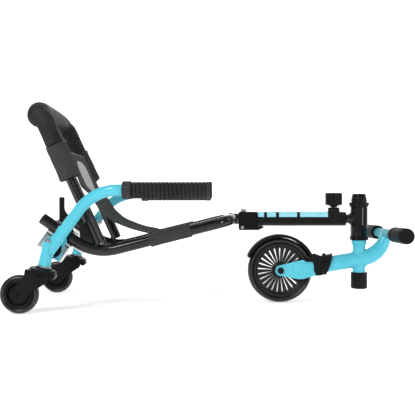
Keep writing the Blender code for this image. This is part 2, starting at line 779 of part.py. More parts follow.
def build_coupler():
    """The pressed cradle that joins the frame's stub to the spine, with its small screws fixed in its sides."""
    tube_foot = SPINE_Z - OUTER_TUBE / 2 - COUPLER_LIP_DROP
    top = SPINE_Z + OUTER_TUBE / 2 + GAP
    corners = [(COUPLER_REAR_X, COUPLER_FOOT_Z), (COUPLER_LIP_X - 0.008, COUPLER_FOOT_Z), (COUPLER_LIP_X, tube_foot),
               (COUPLER_FRONT_X, tube_foot), (COUPLER_FRONT_X, top), (COUPLER_REAR_X, top)]
    outline = outline_points(corners, [0.001, 0.002, 0.002, 0.0, COUPLER_CORNER_R, 0.002], radians(30.0))
    coupler = upright("coupler", [outline], 2 * COUPLER_OUT, 0.0, MATT_BLACK)
    inside = block("coupler_inside", (COUPLER_REAR_X - 0.01, -COUPLER_IN, COUPLER_FOOT_Z + COUPLER_SHEET),
                   (COUPLER_LIP_X + 0.01, COUPLER_IN, top - COUPLER_TOP))
    above = block("coupler_above", (OUTER_REAR_X - GAP, -COUPLER_IN, SPINE_Z), (COUPLER_LIP_X, COUPLER_IN, 0.3))
    cut(coupler, inside, above)
    boolean(coupler, coupler_bolt_hole())
    cut(coupler, cylinder("coupler_pin_hole", bore_for(COUPLER_PIN_R), 0.06, at=(COUPLER_PIN_X, 0.03, COUPLER_PIN_Z),
                          turn=(pi / 2, 0.0, 0.0), count=SMALL_STEPS))
    head = [(0.0, 0.0020), (0.0020, 0.0018), (0.0034, 0.0004), (0.0034, -0.0005), (COUPLER_SCREW_R, -0.0005),
            (COUPLER_SCREW_R, -0.0055), (0.0, -0.0055)]
    for side in (-1, 1):
        for x, z in COUPLER_SCREWS:
            joined(coupler, turned("coupler_screw", head, at=(x, side * COUPLER_OUT, z),
                                   turn=(-side * pi / 2, 0.0, 0.0), steps=SMALL_STEPS))
    washer_top = top + GAP + WASHER
    bolt_length = washer_top - (SPINE_Z - STUB_R - 0.003)
    bolt = hex_bolt("coupler_bolt", BOLT_R, bolt_length, BOLT_HEAD_AF, BOLT_HEAD, (COUPLER_BOLT_X, 0.0, washer_top),
                    (0.0, 0.0, -1.0), ZINC)
    joined(bolt, cylinder("coupler_washer", WASHER_R, WASHER, at=(COUPLER_BOLT_X, 0.0, top + GAP)))
    near = Vector((COUPLER_PIN_X, -COUPLER_OUT - GAP, COUPLER_PIN_Z))
    pin_length = 2 * COUPLER_OUT + 2 * GAP
    pin = hex_bolt("coupler_pin", COUPLER_PIN_R, pin_length + 0.002, 0.008, 0.0035, near, (0.0, 1.0, 0.0), ZINC)
    joined(pin, cylinder("coupler_pin_nut", 0.008 / sqrt(3), 0.004, at=near + Vector((0.0, pin_length, 0.0)),
                         turn=(-pi / 2, 0.0, 0.0), count=6))


def caster_point(forward, up):
    """A point of the caster's tilted frame, in X and Z. The frame stands on the sleeve's foot."""
    return (SLEEVE_FOOT_X + forward * cos(CASTER_TILT) + up * sin(CASTER_TILT),
            SLEEVE_FOOT_Z - forward * sin(CASTER_TILT) + up * cos(CASTER_TILT))


def lever_path():
    """The lever's middle line: up from its sleeve, round the knee, then level into the grip."""
    knee = Vector((LEVER_KNEE_X, 0.0, LEVER_TOP_Z))
    start = knee - direction(LEVER_RISE) * LEVER_LEG
    end = Vector((GRIP_REAR_X + GRIP_LENGTH - GRIP_END, 0.0, LEVER_TOP_Z))
    path = fillet_path([start, knee, end], [LEVER_BEND_R])
    bend_start = path[1].x
    bend_end = path[-2].x
    for place in path:
        share = min(1.0, max(0.0, (place.x - bend_start) / (bend_end - bend_start)))
        place.y = LEVER_Y + LEVER_SPLAY * share * share * (3 - 2 * share)
    return path


def mirrored(points, side):
    return [Vector((place.x, side * place.y, place.z)) for place in points]


def build_levers():
    """Each lever is a weldment that turns on its pivot pin: a caster sleeve, a hubbed plate, a tube up to the grip."""
    for side, word in ((-1, "right"), (1, "left")):
        low = caster_point(0.0, -0.03)
        high = caster_point(0.0, SLEEVE_LENGTH + 0.03)
        line = [(low[0], side * LEVER_Y, low[1]), (high[0], side * LEVER_Y, high[1])]
        tube = pipe(f"lever_{word}", mirrored(lever_path(), side), TUBE_R, TUBE_WALL, GLOSS_BLUE)
        cut(tube, rod(f"sleeve_inside_{word}", line, SLEEVE_R - WELD))
        inside = rod("tube_inside", mirrored(lever_path(), side)[:3], TUBE_R - WELD)
        joined(tube, cut(lever_yoke(side), inside))
        foot = caster_point(0.0, -0.005)
        bore = cylinder("sleeve_bore", SLEEVE_R - SLEEVE_WALL, SLEEVE_LENGTH + 0.01,
                        at=(foot[0], side * LEVER_Y, foot[1]), turn=(0.0, CASTER_TILT, 0.0), count=ROUND_STEPS)
        pin_hole = cylinder("pin_hole", bore_for(PIVOT_R), 0.1, at=(PIVOT_X, side * 0.14 + 0.05, PIVOT_Z),
                            turn=(pi / 2, 0.0, 0.0), count=ROUND_STEPS)
        cut(tube, bore, pin_hole)
        build_grip(side, word)


def lever_yoke(side):
    """The plate, hub and sleeve at the foot of a lever."""
    foot = caster_point(0.0, 0.0)
    plate_y = LEVER_PLATE_Y + LEVER_PLATE / 2
    corners = [(-0.3520, 0.1720), (-0.3620, 0.1580), (-0.3665, 0.1400), (-0.3710, 0.1235), (-0.3860, 0.1325),
               (-0.3920, 0.1290), (-0.3960, 0.1170), (-0.4060, 0.1200), (-0.4060, 0.1500), (-0.4020, 0.1790),
               (-0.3800, 0.1980), (-0.3540, 0.1980)]
    radii = [0.004, 0.008, 0.0, 0.002, 0.006, 0.004, 0.002, 0.002, 0.0, 0.010, 0.006, 0.006]
    outline = outline_points(corners, radii, radians(35.0))
    yoke = upright("lever_yoke", [outline], LEVER_PLATE, side * plate_y)
    sleeve = cylinder("sleeve", SLEEVE_R, SLEEVE_LENGTH, at=(foot[0], side * LEVER_Y, foot[1]),
                      turn=(0.0, CASTER_TILT, 0.0))
    hub_in = BRACKET_WEB_Y + BRACKET_SHEET / 2 + GAP
    hub = cylinder("lever_hub", LEVER_HUB_R, plate_y - hub_in, at=(PIVOT_X, side * hub_in, PIVOT_Z),
                   turn=(-side * pi / 2, 0.0, 0.0))
    reach = (side * plate_y, side * (LEVER_Y - 0.004))
    strips = []
    for low_x, high_x, low_z, high_z in YOKE_STRIPS:
        strips.append(block("yoke_strip", (low_x, min(reach), low_z), (high_x, max(reach), high_z)))
    return joined(yoke, sleeve, hub, *strips)


def build_grip(side, word):
    rear = GRIP_REAR_X
    end = rear + GRIP_LENGTH
    bore = bore_for(TUBE_R)
    profile = [(0.0, GRIP_LENGTH), (GRIP_R - 0.0025, GRIP_LENGTH), (GRIP_R, GRIP_LENGTH - 0.0025),
               (GRIP_R, GRIP_LENGTH - GRIP_END)]
    ribs_from = GRIP_FLANGE + 0.006
    pitch = (GRIP_LENGTH - GRIP_END - ribs_from) / GRIP_RIBS
    for index in range(GRIP_RIBS):
        at = GRIP_LENGTH - GRIP_END - index * pitch
        profile.append((GRIP_R - GRIP_RIB_DEPTH, at - 0.35 * pitch))
        profile.append((GRIP_R, at - 0.70 * pitch))
        if index % 2 and index < GRIP_RIBS - 1:
            profile.append((GRIP_R, at - pitch))
    profile += [(GRIP_R - 0.0010, ribs_from), (GRIP_R - 0.0010, GRIP_FLANGE + 0.0015),
                (GRIP_FLANGE_R - 0.0010, GRIP_FLANGE), (GRIP_FLANGE_R, GRIP_FLANGE - 0.002), (GRIP_FLANGE_R, 0.0015),
                (GRIP_FLANGE_R - 0.0015, 0.0), (bore, 0.0), (bore, GRIP_LENGTH - GRIP_END + GAP),
                (0.0, GRIP_LENGTH - GRIP_END + GAP)]
    y = side * (LEVER_Y + LEVER_SPLAY)
    turned(f"grip_{word}", profile, RUBBER_BLACK, at=(rear, y, LEVER_TOP_Z), turn=(0.0, pi / 2, 0.0), steps=SMALL_STEPS)


def build_casters():
    """A caster turns in each lever's sleeve: its own frame is tilted, so that its axles stay level."""
    for side, word in ((-1, "right"), (1, "left")):
        place = caster_point(0.0, 0.0)
        frame = empty(f"caster_{word}", (place[0], side * LEVER_Y, place[1]), (0.0, CASTER_TILT, 0.0))
        crown_low = -CASTER_CROWN_TOP - CASTER_CROWN
        cheek_y = CASTER_CHEEK_GAP + CASTER_CHEEK / 2
        axle = (-CASTER_TRAIL, -CASTER_DROP)
        end = [(axle[0] + CASTER_AXLE_END_R * cos(radians(angle)), axle[1] + CASTER_AXLE_END_R * sin(radians(angle)))
               for angle in range(-25, -226, -25)]
        cheek_outline = [(-0.0434, -CASTER_CROWN_TOP), (0.0180, -CASTER_CROWN_TOP), (0.0180, -0.0270),
                         (0.0120, -0.0420), (-0.0040, -0.0585), *end, (-0.0611, -0.0687)]
        fork = upright(f"caster_fork_{word}", [cheek_outline], CASTER_CHEEK, -cheek_y, MATT_BLACK, frame)
        other = upright("cheek", [cheek_outline], CASTER_CHEEK, cheek_y, parent=frame)
        half = CASTER_CHEEK_GAP + CASTER_CHEEK
        crown = block("crown", (-0.0434, -half, crown_low), (0.0180, half, -CASTER_CROWN_TOP), parent=frame)
        nose_low = -CASTER_RACE_TOP - CASTER_RACE - CASTER_NOSE_DEPTH
        nose_outline = outline_points([(0.0120, -CASTER_CROWN_TOP), (0.0120, nose_low + 0.010),
                                       (CASTER_NOSE_FRONT - 0.006, nose_low), (CASTER_NOSE_FRONT, nose_low + 0.008),
                                       (CASTER_NOSE_FRONT, -CASTER_CROWN_TOP)], [0.0, 0.0, 0.003, 0.003, 0.0])
        nose = upright("nose", [nose_outline], 2 * (CASTER_CHEEK_GAP - 0.0005), 0.0, parent=frame)
        race_foot = -CASTER_CROWN_TOP - 0.001
        race = turned("race", [(0.0, -CASTER_RACE_TOP), (0.0200, -CASTER_RACE_TOP), (0.0215, -0.0062),
                               (0.0290, -0.0078), (CASTER_RACE_R, -0.0105), (CASTER_RACE_R, -0.0135),
                               (0.0310, race_foot), (0.0, race_foot)], parent=frame)
        joined(fork, other, crown, nose, race)
        stem_hole = cylinder("stem_hole", bore_for(CASTER_STEM_R), 0.03, parent=frame, at=(0.0, 0.0, -0.0263))
        axle_hole = cylinder("axle_hole", bore_for(CASTER_BORE_R), 0.08, parent=frame, at=(axle[0], 0.04, axle[1]),
                             turn=(pi / 2, 0.0, 0.0), count=12)
        cut(fork, stem_hole, axle_hole)
        build_caster_stem(word, frame)
        build_caster_axle(word, frame, axle)
        build_caster_wheel(word, frame, axle)


def build_caster_stem(word, frame):
    """The stem that turns in the sleeve, with the bright washer at its foot and a nut under the crown."""
    washer_foot = -GAP - CASTER_WASHER
    nut_top = -CASTER_CROWN_TOP - CASTER_CROWN - GAP
    cap_foot = SLEEVE_LENGTH + GAP
    profile = [(0.0, cap_foot + 0.005), (0.0100, cap_foot + 0.005), (CASTER_CAP_R, cap_foot + 0.003),
               (CASTER_CAP_R, cap_foot), (CASTER_STEM_R, cap_foot), (CASTER_STEM_R, -GAP), (CASTER_WASHER_R, -GAP),
               (CASTER_WASHER_R, washer_foot), (CASTER_STEM_R, washer_foot), (CASTER_STEM_R, nut_top),
               (0.0110, nut_top), (0.0110, nut_top - 0.005), (0.0, nut_top - 0.005)]
    turned(f"caster_stem_{word}", profile, ZINC, frame, steps=SMALL_STEPS)


def build_caster_axle(word, frame, axle):
    out = CASTER_CHEEK_GAP + CASTER_CHEEK + GAP
    bolt = cylinder(f"caster_axle_{word}", CASTER_BORE_R, 2 * out + 0.004, ZINC, frame,
                    (axle[0], out + 0.002, axle[1]), (pi / 2, 0.0, 0.0), 12)
    for y, sign in ((-out, -1), (out, 1)):
        head = cylinder("caster_axle_end", 0.0130 / sqrt(3), 0.0050, parent=frame, at=(axle[0], y, axle[1]),
                        turn=(-sign * pi / 2, 0.0, 0.0), count=6)
        joined(bolt, head)


def build_caster_wheel(word, frame, axle):
    wheel = empty(f"caster_wheel_{word}", (axle[0], 0.0, axle[1]), (pi / 2, 0.0, 0.0), frame)
    half = CASTER_WHEEL_WIDTH / 2
    tread = CASTER_WHEEL_R
    seat = CASTER_HUB_R + GAP
    tyre = [(seat, half - 0.001), (0.0400, half), (tread - 0.0030, half - 0.0005), (tread - 0.0008, half - 0.0030),
            (tread, half - 0.0070), (tread, 0.0070 - half), (tread - 0.0008, 0.0030 - half),
            (tread - 0.0030, 0.0005 - half), (0.0400, -half), (seat, 0.001 - half)]
    turned(f"caster_tyre_{word}", tyre, POLYURETHANE, wheel, ring=True)
    bore = bore_for(CASTER_BORE_R)
    face = half + 0.0005
    hub_end = CASTER_CHEEK_GAP - GAP
    hub = [(bore, hub_end), (0.0110, hub_end), (0.0115, face - 0.005), (0.0240, face - 0.006), (0.0280, face - 0.002),
           (0.0320, face - 0.001), (CASTER_HUB_R, face - 0.002)]
    hub += [(radius, -height) for radius, height in reversed(hub)]
    turned(f"caster_hub_{word}", hub, PLASTIC_BLACK, wheel, ring=True)


def build_spine_front(frame):
    """What slides: a weldment of the inner tube, the neck in its front end and the head tube, and its bearings."""
    rear_x = OUTER_FRONT_X - INNER_LENGTH
    slider = square_tube("front_frame_tube", INNER_TUBE, INNER_WALL, INNER_CORNER_R, rear_x, OUTER_FRONT_X, GLOSS_BLACK)
    slider.parent = frame
    inside = cylinder("head_inside", HEAD_R - WELD, 0.12, at=(STEER_X, 0.0, HEAD_FOOT_Z - 0.02), count=FINE_STEPS)
    start = OUTER_FRONT_X - 0.020
    plug_r = INNER_TUBE / 2 - INNER_WALL + WELD
    profile = [(0.0, STEER_X - start), (NECK_FLARE_R, STEER_X - start), (NECK_FLARE_R, STEER_X - start - 0.0235),
               (NECK_R, STEER_X - start - 0.030), (NECK_R, OUTER_FRONT_X - start), (plug_r, OUTER_FRONT_X - start),
               (plug_r, 0.0), (0.0, 0.0)]
    neck = turned("neck", profile, parent=frame, at=(start, 0.0, SPINE_Z), turn=(0.0, pi / 2, 0.0))
    bore = HEAD_R - HEAD_WALL
    head = turned("head_tube", [(bore, HEAD_TOP_Z), (HEAD_R, HEAD_TOP_Z), (HEAD_R, HEAD_FOOT_Z), (bore, HEAD_FOOT_Z)],
                  None, frame, (STEER_X, 0.0, 0.0), steps=FINE_STEPS, ring=True)
    joined(slider, cut(neck, inside), head)
    skirt_out = bore - GAP
    skirt_in = skirt_out - CUP_WALL
    seat = HEAD_TOP_Z + GAP
    upper = [(skirt_in, UPPER_CUP_TOP_Z), (UPPER_CUP_R - 0.001, UPPER_CUP_TOP_Z), (UPPER_CUP_R, UPPER_CUP_TOP_Z - 0.001),
             (UPPER_CUP_R, UPPER_CUP_TOP_Z - 0.0045), (HEAD_R + 0.0008, seat + 0.002), (HEAD_R + 0.0003, seat),
             (skirt_out, seat), (skirt_out, seat - CUP_SKIRT), (skirt_in, seat - CUP_SKIRT)]
    turned("upper_cup", upper, MATT_BLACK, frame, (STEER_X, 0.0, 0.0), steps=FINE_STEPS, ring=True)
    seat = HEAD_FOOT_Z - GAP
    lower = [(skirt_in, seat + CUP_SKIRT), (skirt_out, seat + CUP_SKIRT), (skirt_out, seat), (HEAD_R + 0.0003, seat),
             (LOWER_CUP_R, seat - 0.0030), (LOWER_CUP_R, LOWER_CUP_FOOT_Z + 0.001),
             (LOWER_CUP_R - 0.001, LOWER_CUP_FOOT_Z), (skirt_in, LOWER_CUP_FOOT_Z)]
    turned("lower_cup", lower, MATT_BLACK, frame, (STEER_X, 0.0, 0.0), steps=FINE_STEPS, ring=True)
    outer = skirt_in - GAP
    inner_r = STEERER_R + GAP
    for word, foot in (("upper", HEAD_TOP_Z - 0.001), ("lower", HEAD_FOOT_Z + 0.001 - BEARING_HEIGHT)):
        ring = [(inner_r, foot + BEARING_HEIGHT), (outer, foot + BEARING_HEIGHT), (outer, foot), (inner_r, foot)]
        turned(f"{word}_bearing", ring, STEEL, frame, (STEER_X, 0.0, 0.0), steps=FINE_STEPS, ring=True)


def build_knob(frame):
    """A fluted knob with its stud moulded in. Its turning clamps the spine's two tubes together."""
    flutes = []
    for index in range(KNOB_FLUTES):
        angle = 2 * pi * index / KNOB_FLUTES
        flutes.append((angle, KNOB_R))
    outline = []
    for angle, radius in flutes:
        for offset, depth in ((-0.22, 0.0), (0.0, KNOB_FLUTE_R), (0.22, 0.0)):
            turn = angle + offset * 2 * pi / KNOB_FLUTES
            outline.append(((radius - depth) * cos(turn), (radius - depth) * sin(turn)))
    foot = KNOB_FOOT_Z
    knob = flat("clamp_knob", [outline], KNOB_HEIGHT, PLASTIC_BLACK, frame, (0.0, 0.0, foot + KNOB_HEIGHT / 2))
    neck_foot = COLLAR_TOP_Z + GAP
    stud_foot = SPINE_Z + INNER_TUBE / 2 + GAP
    profile = [(0.0, foot + 0.004), (KNOB_NECK_R, foot + 0.004), (KNOB_NECK_R, neck_foot), (KNOB_STUD_R, neck_foot),
               (KNOB_STUD_R, stud_foot), (0.0, stud_foot)]
    joined(knob, turned("knob_stud", profile, parent=frame, steps=SMALL_STEPS))


def fork_path():
    """The fork's middle line: forward from the fork plates, then round and up to the peg bar."""
    tip = Vector((PEG_BAR_X, 0.0, PEG_BAR_Z))
    start = Vector((FORK_REAR_X, 0.0, FORK_Z + (FORK_REAR_X - FORK_X) * tan(FORK_SLOPE)))
    run = (tip.z - FORK_Z - (tip.x - FORK_X) * tan(FORK_TIP_SLOPE)) / (tan(FORK_SLOPE) - tan(FORK_TIP_SLOPE))
    corner = Vector((FORK_X + run, 0.0, FORK_Z + run * tan(FORK_SLOPE)))
    taper = start + direction(FORK_SLOPE) * ((STEER_X - FORK_REAR_X) / cos(FORK_SLOPE))
    path = [start, taper] + fillet_path([start, corner, tip], [FORK_BEND_R])[1:]
    scales = [1.0, 1.0]
    share = [(place - taper).length for place in path[2:]]
    for reach in share:
        scales.append(1.0 + (FORK_TIP_R / FORK_R - 1.0) * min(1.0, reach / share[-2]) ** 1.15)
    return path, scales


def build_fork(frame):
    """What turns about the steering axis: column, tapered fork tube, peg bar, bumper, wheel plates."""
    path, scales = fork_path()
    fork = pipe("fork_frame", path, FORK_R, FORK_WALL, GLOSS_BLUE, frame, scales, sides=TUBE_SIDES + 2)
    ends = [(PEG_BAR_X, side * PEG_BAR_HALF, PEG_BAR_Z) for side in (-1, 1)]
    cut(fork, rod("bar_inside", ends, PEG_BAR_R - WELD))
    column = [(0.0, TOP_NUT_TOP_Z - 0.0060), (STEERER_R, TOP_NUT_TOP_Z - 0.0060), (STEERER_R, LOWER_CUP_FOOT_Z - GAP),
              (CROWN_R - 0.001, LOWER_CUP_FOOT_Z - GAP), (CROWN_R, LOWER_CUP_FOOT_Z - GAP - 0.001),
              (CROWN_R, CROWN_FOOT_Z + 0.002), (COLUMN_R, CROWN_FOOT_Z), (COLUMN_R, COLUMN_FOOT_Z),
              (COLUMN_SPIGOT_R, COLUMN_FOOT_Z), (COLUMN_SPIGOT_R, BUMPER_FOOT_Z + 0.008), (0.0, BUMPER_FOOT_Z + 0.008)]
    joined(fork, pipe("peg_bar", ends, PEG_BAR_R, PEG_BAR_WALL, parent=frame),
           turned("steering_column", column, parent=frame, at=(STEER_X, 0.0, 0.0), steps=FINE_STEPS))
    build_top_nut(frame)
    build_pegs(frame)
    top = COLUMN_FOOT_Z - GAP
    bore = bore_for(COLUMN_SPIGOT_R, ROUND_STEPS)
    bumper = [(0.0, BUMPER_FOOT_Z + 0.008 - GAP), (bore, BUMPER_FOOT_Z + 0.008 - GAP), (bore, top),
              (BUMPER_R - 0.001, top), (BUMPER_R, top - 0.001), (BUMPER_R, BUMPER_FOOT_Z + 0.003),
              (BUMPER_R - 0.003, BUMPER_FOOT_Z), (0.0, BUMPER_FOOT_Z)]
    turned("bumper", bumper, RUBBER_BLACK, frame, (STEER_X, 0.0, 0.0))
    build_fork_plates(frame)
    build_fork_collar(frame)
    build_fender(frame)


def build_top_nut(frame):
    bore = STEERER_R + GAP
    foot = UPPER_CUP_TOP_Z + GAP
    inside = TOP_NUT_TOP_Z - 0.0060 + GAP
    profile = [(0.0, TOP_NUT_TOP_Z), (TOP_NUT_R - 0.0050, TOP_NUT_TOP_Z), (TOP_NUT_R - 0.0030, TOP_NUT_TOP_Z - 0.0020),
               (TOP_NUT_R - 0.0015, TOP_NUT_TOP_Z - 0.0110), (TOP_NUT_R, foot + 0.0080), (TOP_NUT_R, foot),
               (bore, foot), (bore, inside), (0.0, inside)]
    nut = turned("top_nut", profile, PLASTIC_BLACK, frame, (STEER_X, 0.0, 0.0), steps=FINE_STEPS)
    notch = bpy.data.meshes.new("nut_notches")
    work = bmesh.new()
    for index in range(TOP_NUT_NOTCHES):
        angle = 2 * pi * (index + 0.5) / TOP_NUT_NOTCHES
        made = bmesh.ops.create_cube(work, size=1.0)["verts"]
        bmesh.ops.scale(work, vec=(0.006, 0.007, 0.0100), verts=made)
        bmesh.ops.translate(work, vec=(TOP_NUT_R + 0.0008, 0.0, TOP_NUT_TOP_Z - 0.0045), verts=made)
        bmesh.ops.rotate(work, cent=(0.0, 0.0, 0.0), matrix=Matrix.Rotation(angle, 3, "Z"), verts=made)
    work.to_mesh(notch)
    work.free()
    cut(nut, add("nut_notches", notch, at=(STEER_X, 0.0, 0.0)))


def build_pegs(frame):
    """The foot pegs: grips with closed outer ends, pushed over the peg bar."""
    length = PEG_LENGTH
    bore = bore_for(PEG_BAR_R, ROUND_STEPS)
    inside = PEG_BAR_HALF + GAP - PEG_INNER_Y
    profile = [(0.0, length), (0.0040, length), (0.0042, length - 0.0010), (0.0060, length - 0.0010),
               (0.0062, length), (PEG_R - 0.0030, length), (PEG_R, length - 0.0030)]
    for at in PEG_GROOVES:
        profile += [(PEG_R, at + 0.0020), (PEG_R - 0.0012, at + 0.0008), (PEG_R - 0.0012, at - 0.0008),
                    (PEG_R, at - 0.0020)]
    profile += [(PEG_R, 0.0020), (PEG_R - 0.0020, 0.0), (bore, 0.0), (bore, inside), (0.0, inside)]
    for side, word in ((-1, "right"), (1, "left")):
        turned(f"peg_{word}", profile, RUBBER_BLACK, frame, (PEG_BAR_X, side * PEG_INNER_Y, PEG_BAR_Z),
               (-side * pi / 2, 0.0, 0.0))


def fork_top(x, above):
    """The height of the fork tube's straight run above the floor, and so much above its middle."""
    return FORK_Z + (x - FORK_X) * tan(FORK_SLOPE) + above / cos(FORK_SLOPE)


def plate_outline(grow=0.0):
    """The side view of a fork plate, or of the room that it takes in its collar."""
    end = [(FRONT_AXLE_X + FORK_PLATE_END_R * cos(radians(angle)),
            FRONT_WHEEL_R + FORK_PLATE_END_R * sin(radians(angle))) for angle in range(100, 271, 34)]
    front = FORK_PLATE_FRONT_X
    return [*end, (0.2415, 0.0651 - grow), (0.2567, 0.0651 - grow), (0.2914, 0.0746 - grow),
            (front + grow, fork_top(front, -FORK_R + 0.002) - grow),
            (front + grow, fork_top(front, FORK_R - 0.004) + grow), (0.2960, 0.1190 + grow), (0.2540, 0.1166 + grow)]


def build_fork_plates(frame):
    """The two plates that hold the front wheel, one on each side of the fork tube."""
    outline = plate_outline()
    emboss = outline_points([(0.2150, 0.0800), (0.2440, 0.0730), (0.2560, 0.0760), (0.2560, 0.1040), (0.2150, 0.0975)],
                            0.005, radians(45.0))
    for side, word in ((-1, "right"), (1, "left")):
        middle = side * (FORK_R + GAP + FORK_PLATE / 2)
        plate = upright(f"fork_plate_{word}", [outline, circle_points(FRONT_AXLE_X, FRONT_WHEEL_R, bore_for(FRONT_AXLE_R))],
                        FORK_PLATE, middle, GLOSS_BLUE, frame)
        raised = upright("plate_emboss", [emboss], 0.003, side * (FORK_R + GAP + FORK_PLATE), parent=frame)
        joined(plate, raised)
        hole = cylinder("collar_screw_hole", bore_for(COLLAR_SCREW_R), 0.02, parent=frame,
                        at=(COLLAR_SCREW_X, middle + 0.01, COLLAR_SCREW_Z), turn=(pi / 2, 0.0, 0.0), count=10)
        cut(plate, hole)


def build_fork_collar(frame):
    """The clamp that holds the fork plates against the fork tube."""
    inside = FORK_R + 2 * GAP + FORK_PLATE
    outside = inside + COLLAR_SHEET
    outline = [(0.2577, 0.1170), (0.2815, 0.1300), (0.2966, 0.1318), (0.3088, 0.1300), (0.3390, 0.1320),
               (0.3177, 0.0745), (0.2907, 0.0700), (0.2831, 0.1080)]
    collar = upright("fork_collar", [outline], 2 * outside, 0.0, MATT_BLACK, frame)
    rise = FORK_R + GAP
    hollow = [(0.24, fork_top(0.24, rise)), (0.24, fork_top(0.24, -rise)), (0.36, fork_top(0.36, -rise)),
              (0.36, fork_top(0.36, rise))]
    slot = upright("collar_hollow", [hollow], 2 * inside, 0.0, parent=frame)
    plate_seat = upright("plate_seat", [plate_outline(GAP)], 2 * inside, 0.0, parent=frame)
    seat = arc(FENDER_R + GAP, FENDER_FRONT - radians(0.3), FENDER_FRONT + 0.6, 10)
    seat += list(reversed(arc(FENDER_R - FENDER_SKIRT - GAP, FENDER_FRONT - radians(0.3), FENDER_FRONT + 0.6, 10)))
    fender_seat = flat("fender_seat", [seat], 2 * (FENDER_HALF + GAP), parent=frame,
                       at=(FRONT_AXLE_X, 0.0, FRONT_WHEEL_R), turn=(pi / 2, 0.0, 0.0))
    wheel_room = cylinder("wheel_room", FRONT_WHEEL_R + WHEEL_ROOM, 2 * inside, parent=frame,
                          at=(FRONT_AXLE_X, inside, FRONT_WHEEL_R), turn=(pi / 2, 0.0, 0.0), count=2 * ROUND_STEPS)
    cut(collar, slot, plate_seat, fender_seat, wheel_room)
    for side in (-1, 1):
        hole = cylinder("collar_screw_hole", bore_for(COLLAR_SCREW_R), 0.012, parent=frame,
                        at=(COLLAR_SCREW_X, side * inside + 0.006, COLLAR_SCREW_Z), turn=(pi / 2, 0.0, 0.0), count=10)
        cut(collar, hole)
    head = [(0.0, 0.0030), (0.0034, 0.0026), (0.0052, 0.0008), (0.0052, 0.0), (COLLAR_SCREW_R, 0.0),
            (COLLAR_SCREW_R, -0.0055), (0.0, -0.0055)]
    for side, word in ((-1, "right"), (1, "left")):
        turned(f"collar_screw_{word}", head, STEEL, frame, (COLLAR_SCREW_X, side * (outside + GAP), COLLAR_SCREW_Z),
               (-side * pi / 2, 0.0, 0.0), steps=SMALL_STEPS)


def arc(radius, start, end, count):
    return [
        (radius * cos(start + (end - start) * index / count), radius * sin(start + (end - start) * index / count))
        for index in range(count + 1)
    ]


def build_fender(frame):
    """A bent strip with short skirts over the front wheel, its front end fixed under the fork collar."""
    inner = FENDER_R - FENDER_SHEET
    count = 14
    shell = arc(FENDER_R, FENDER_FRONT, FENDER_REAR, count)
    shell += list(reversed(arc(inner, FENDER_FRONT, FENDER_REAR, count)))
    place = (FRONT_AXLE_X, 0.0, FRONT_WHEEL_R)
    fender = flat("fender", [shell], 2 * FENDER_HALF, PLASTIC_BLACK, frame, place, (pi / 2, 0.0, 0.0))
    skirt = arc(FENDER_R - 0.0004, FENDER_FRONT + 0.01, FENDER_REAR - 0.01, count)
    skirt += list(reversed(arc(FENDER_R - FENDER_SKIRT, FENDER_FRONT + 0.01, FENDER_REAR - 0.01, count)))
    for side in (-1, 1):
        y = side * (FENDER_HALF - 0.0013)
        joined(fender, flat("fender_skirt", [skirt], 0.0022, parent=frame, at=(FRONT_AXLE_X, y, FRONT_WHEEL_R),
                            turn=(pi / 2, 0.0, 0.0)))
    fork_space = rod("fork_space", [(0.26, 0.0, fork_top(0.26, 0.0)), (0.36, 0.0, fork_top(0.36, 0.0))],
                     bore_for(FORK_R), sides=TUBE_SIDES + 2)
    cut(fender, fork_space)


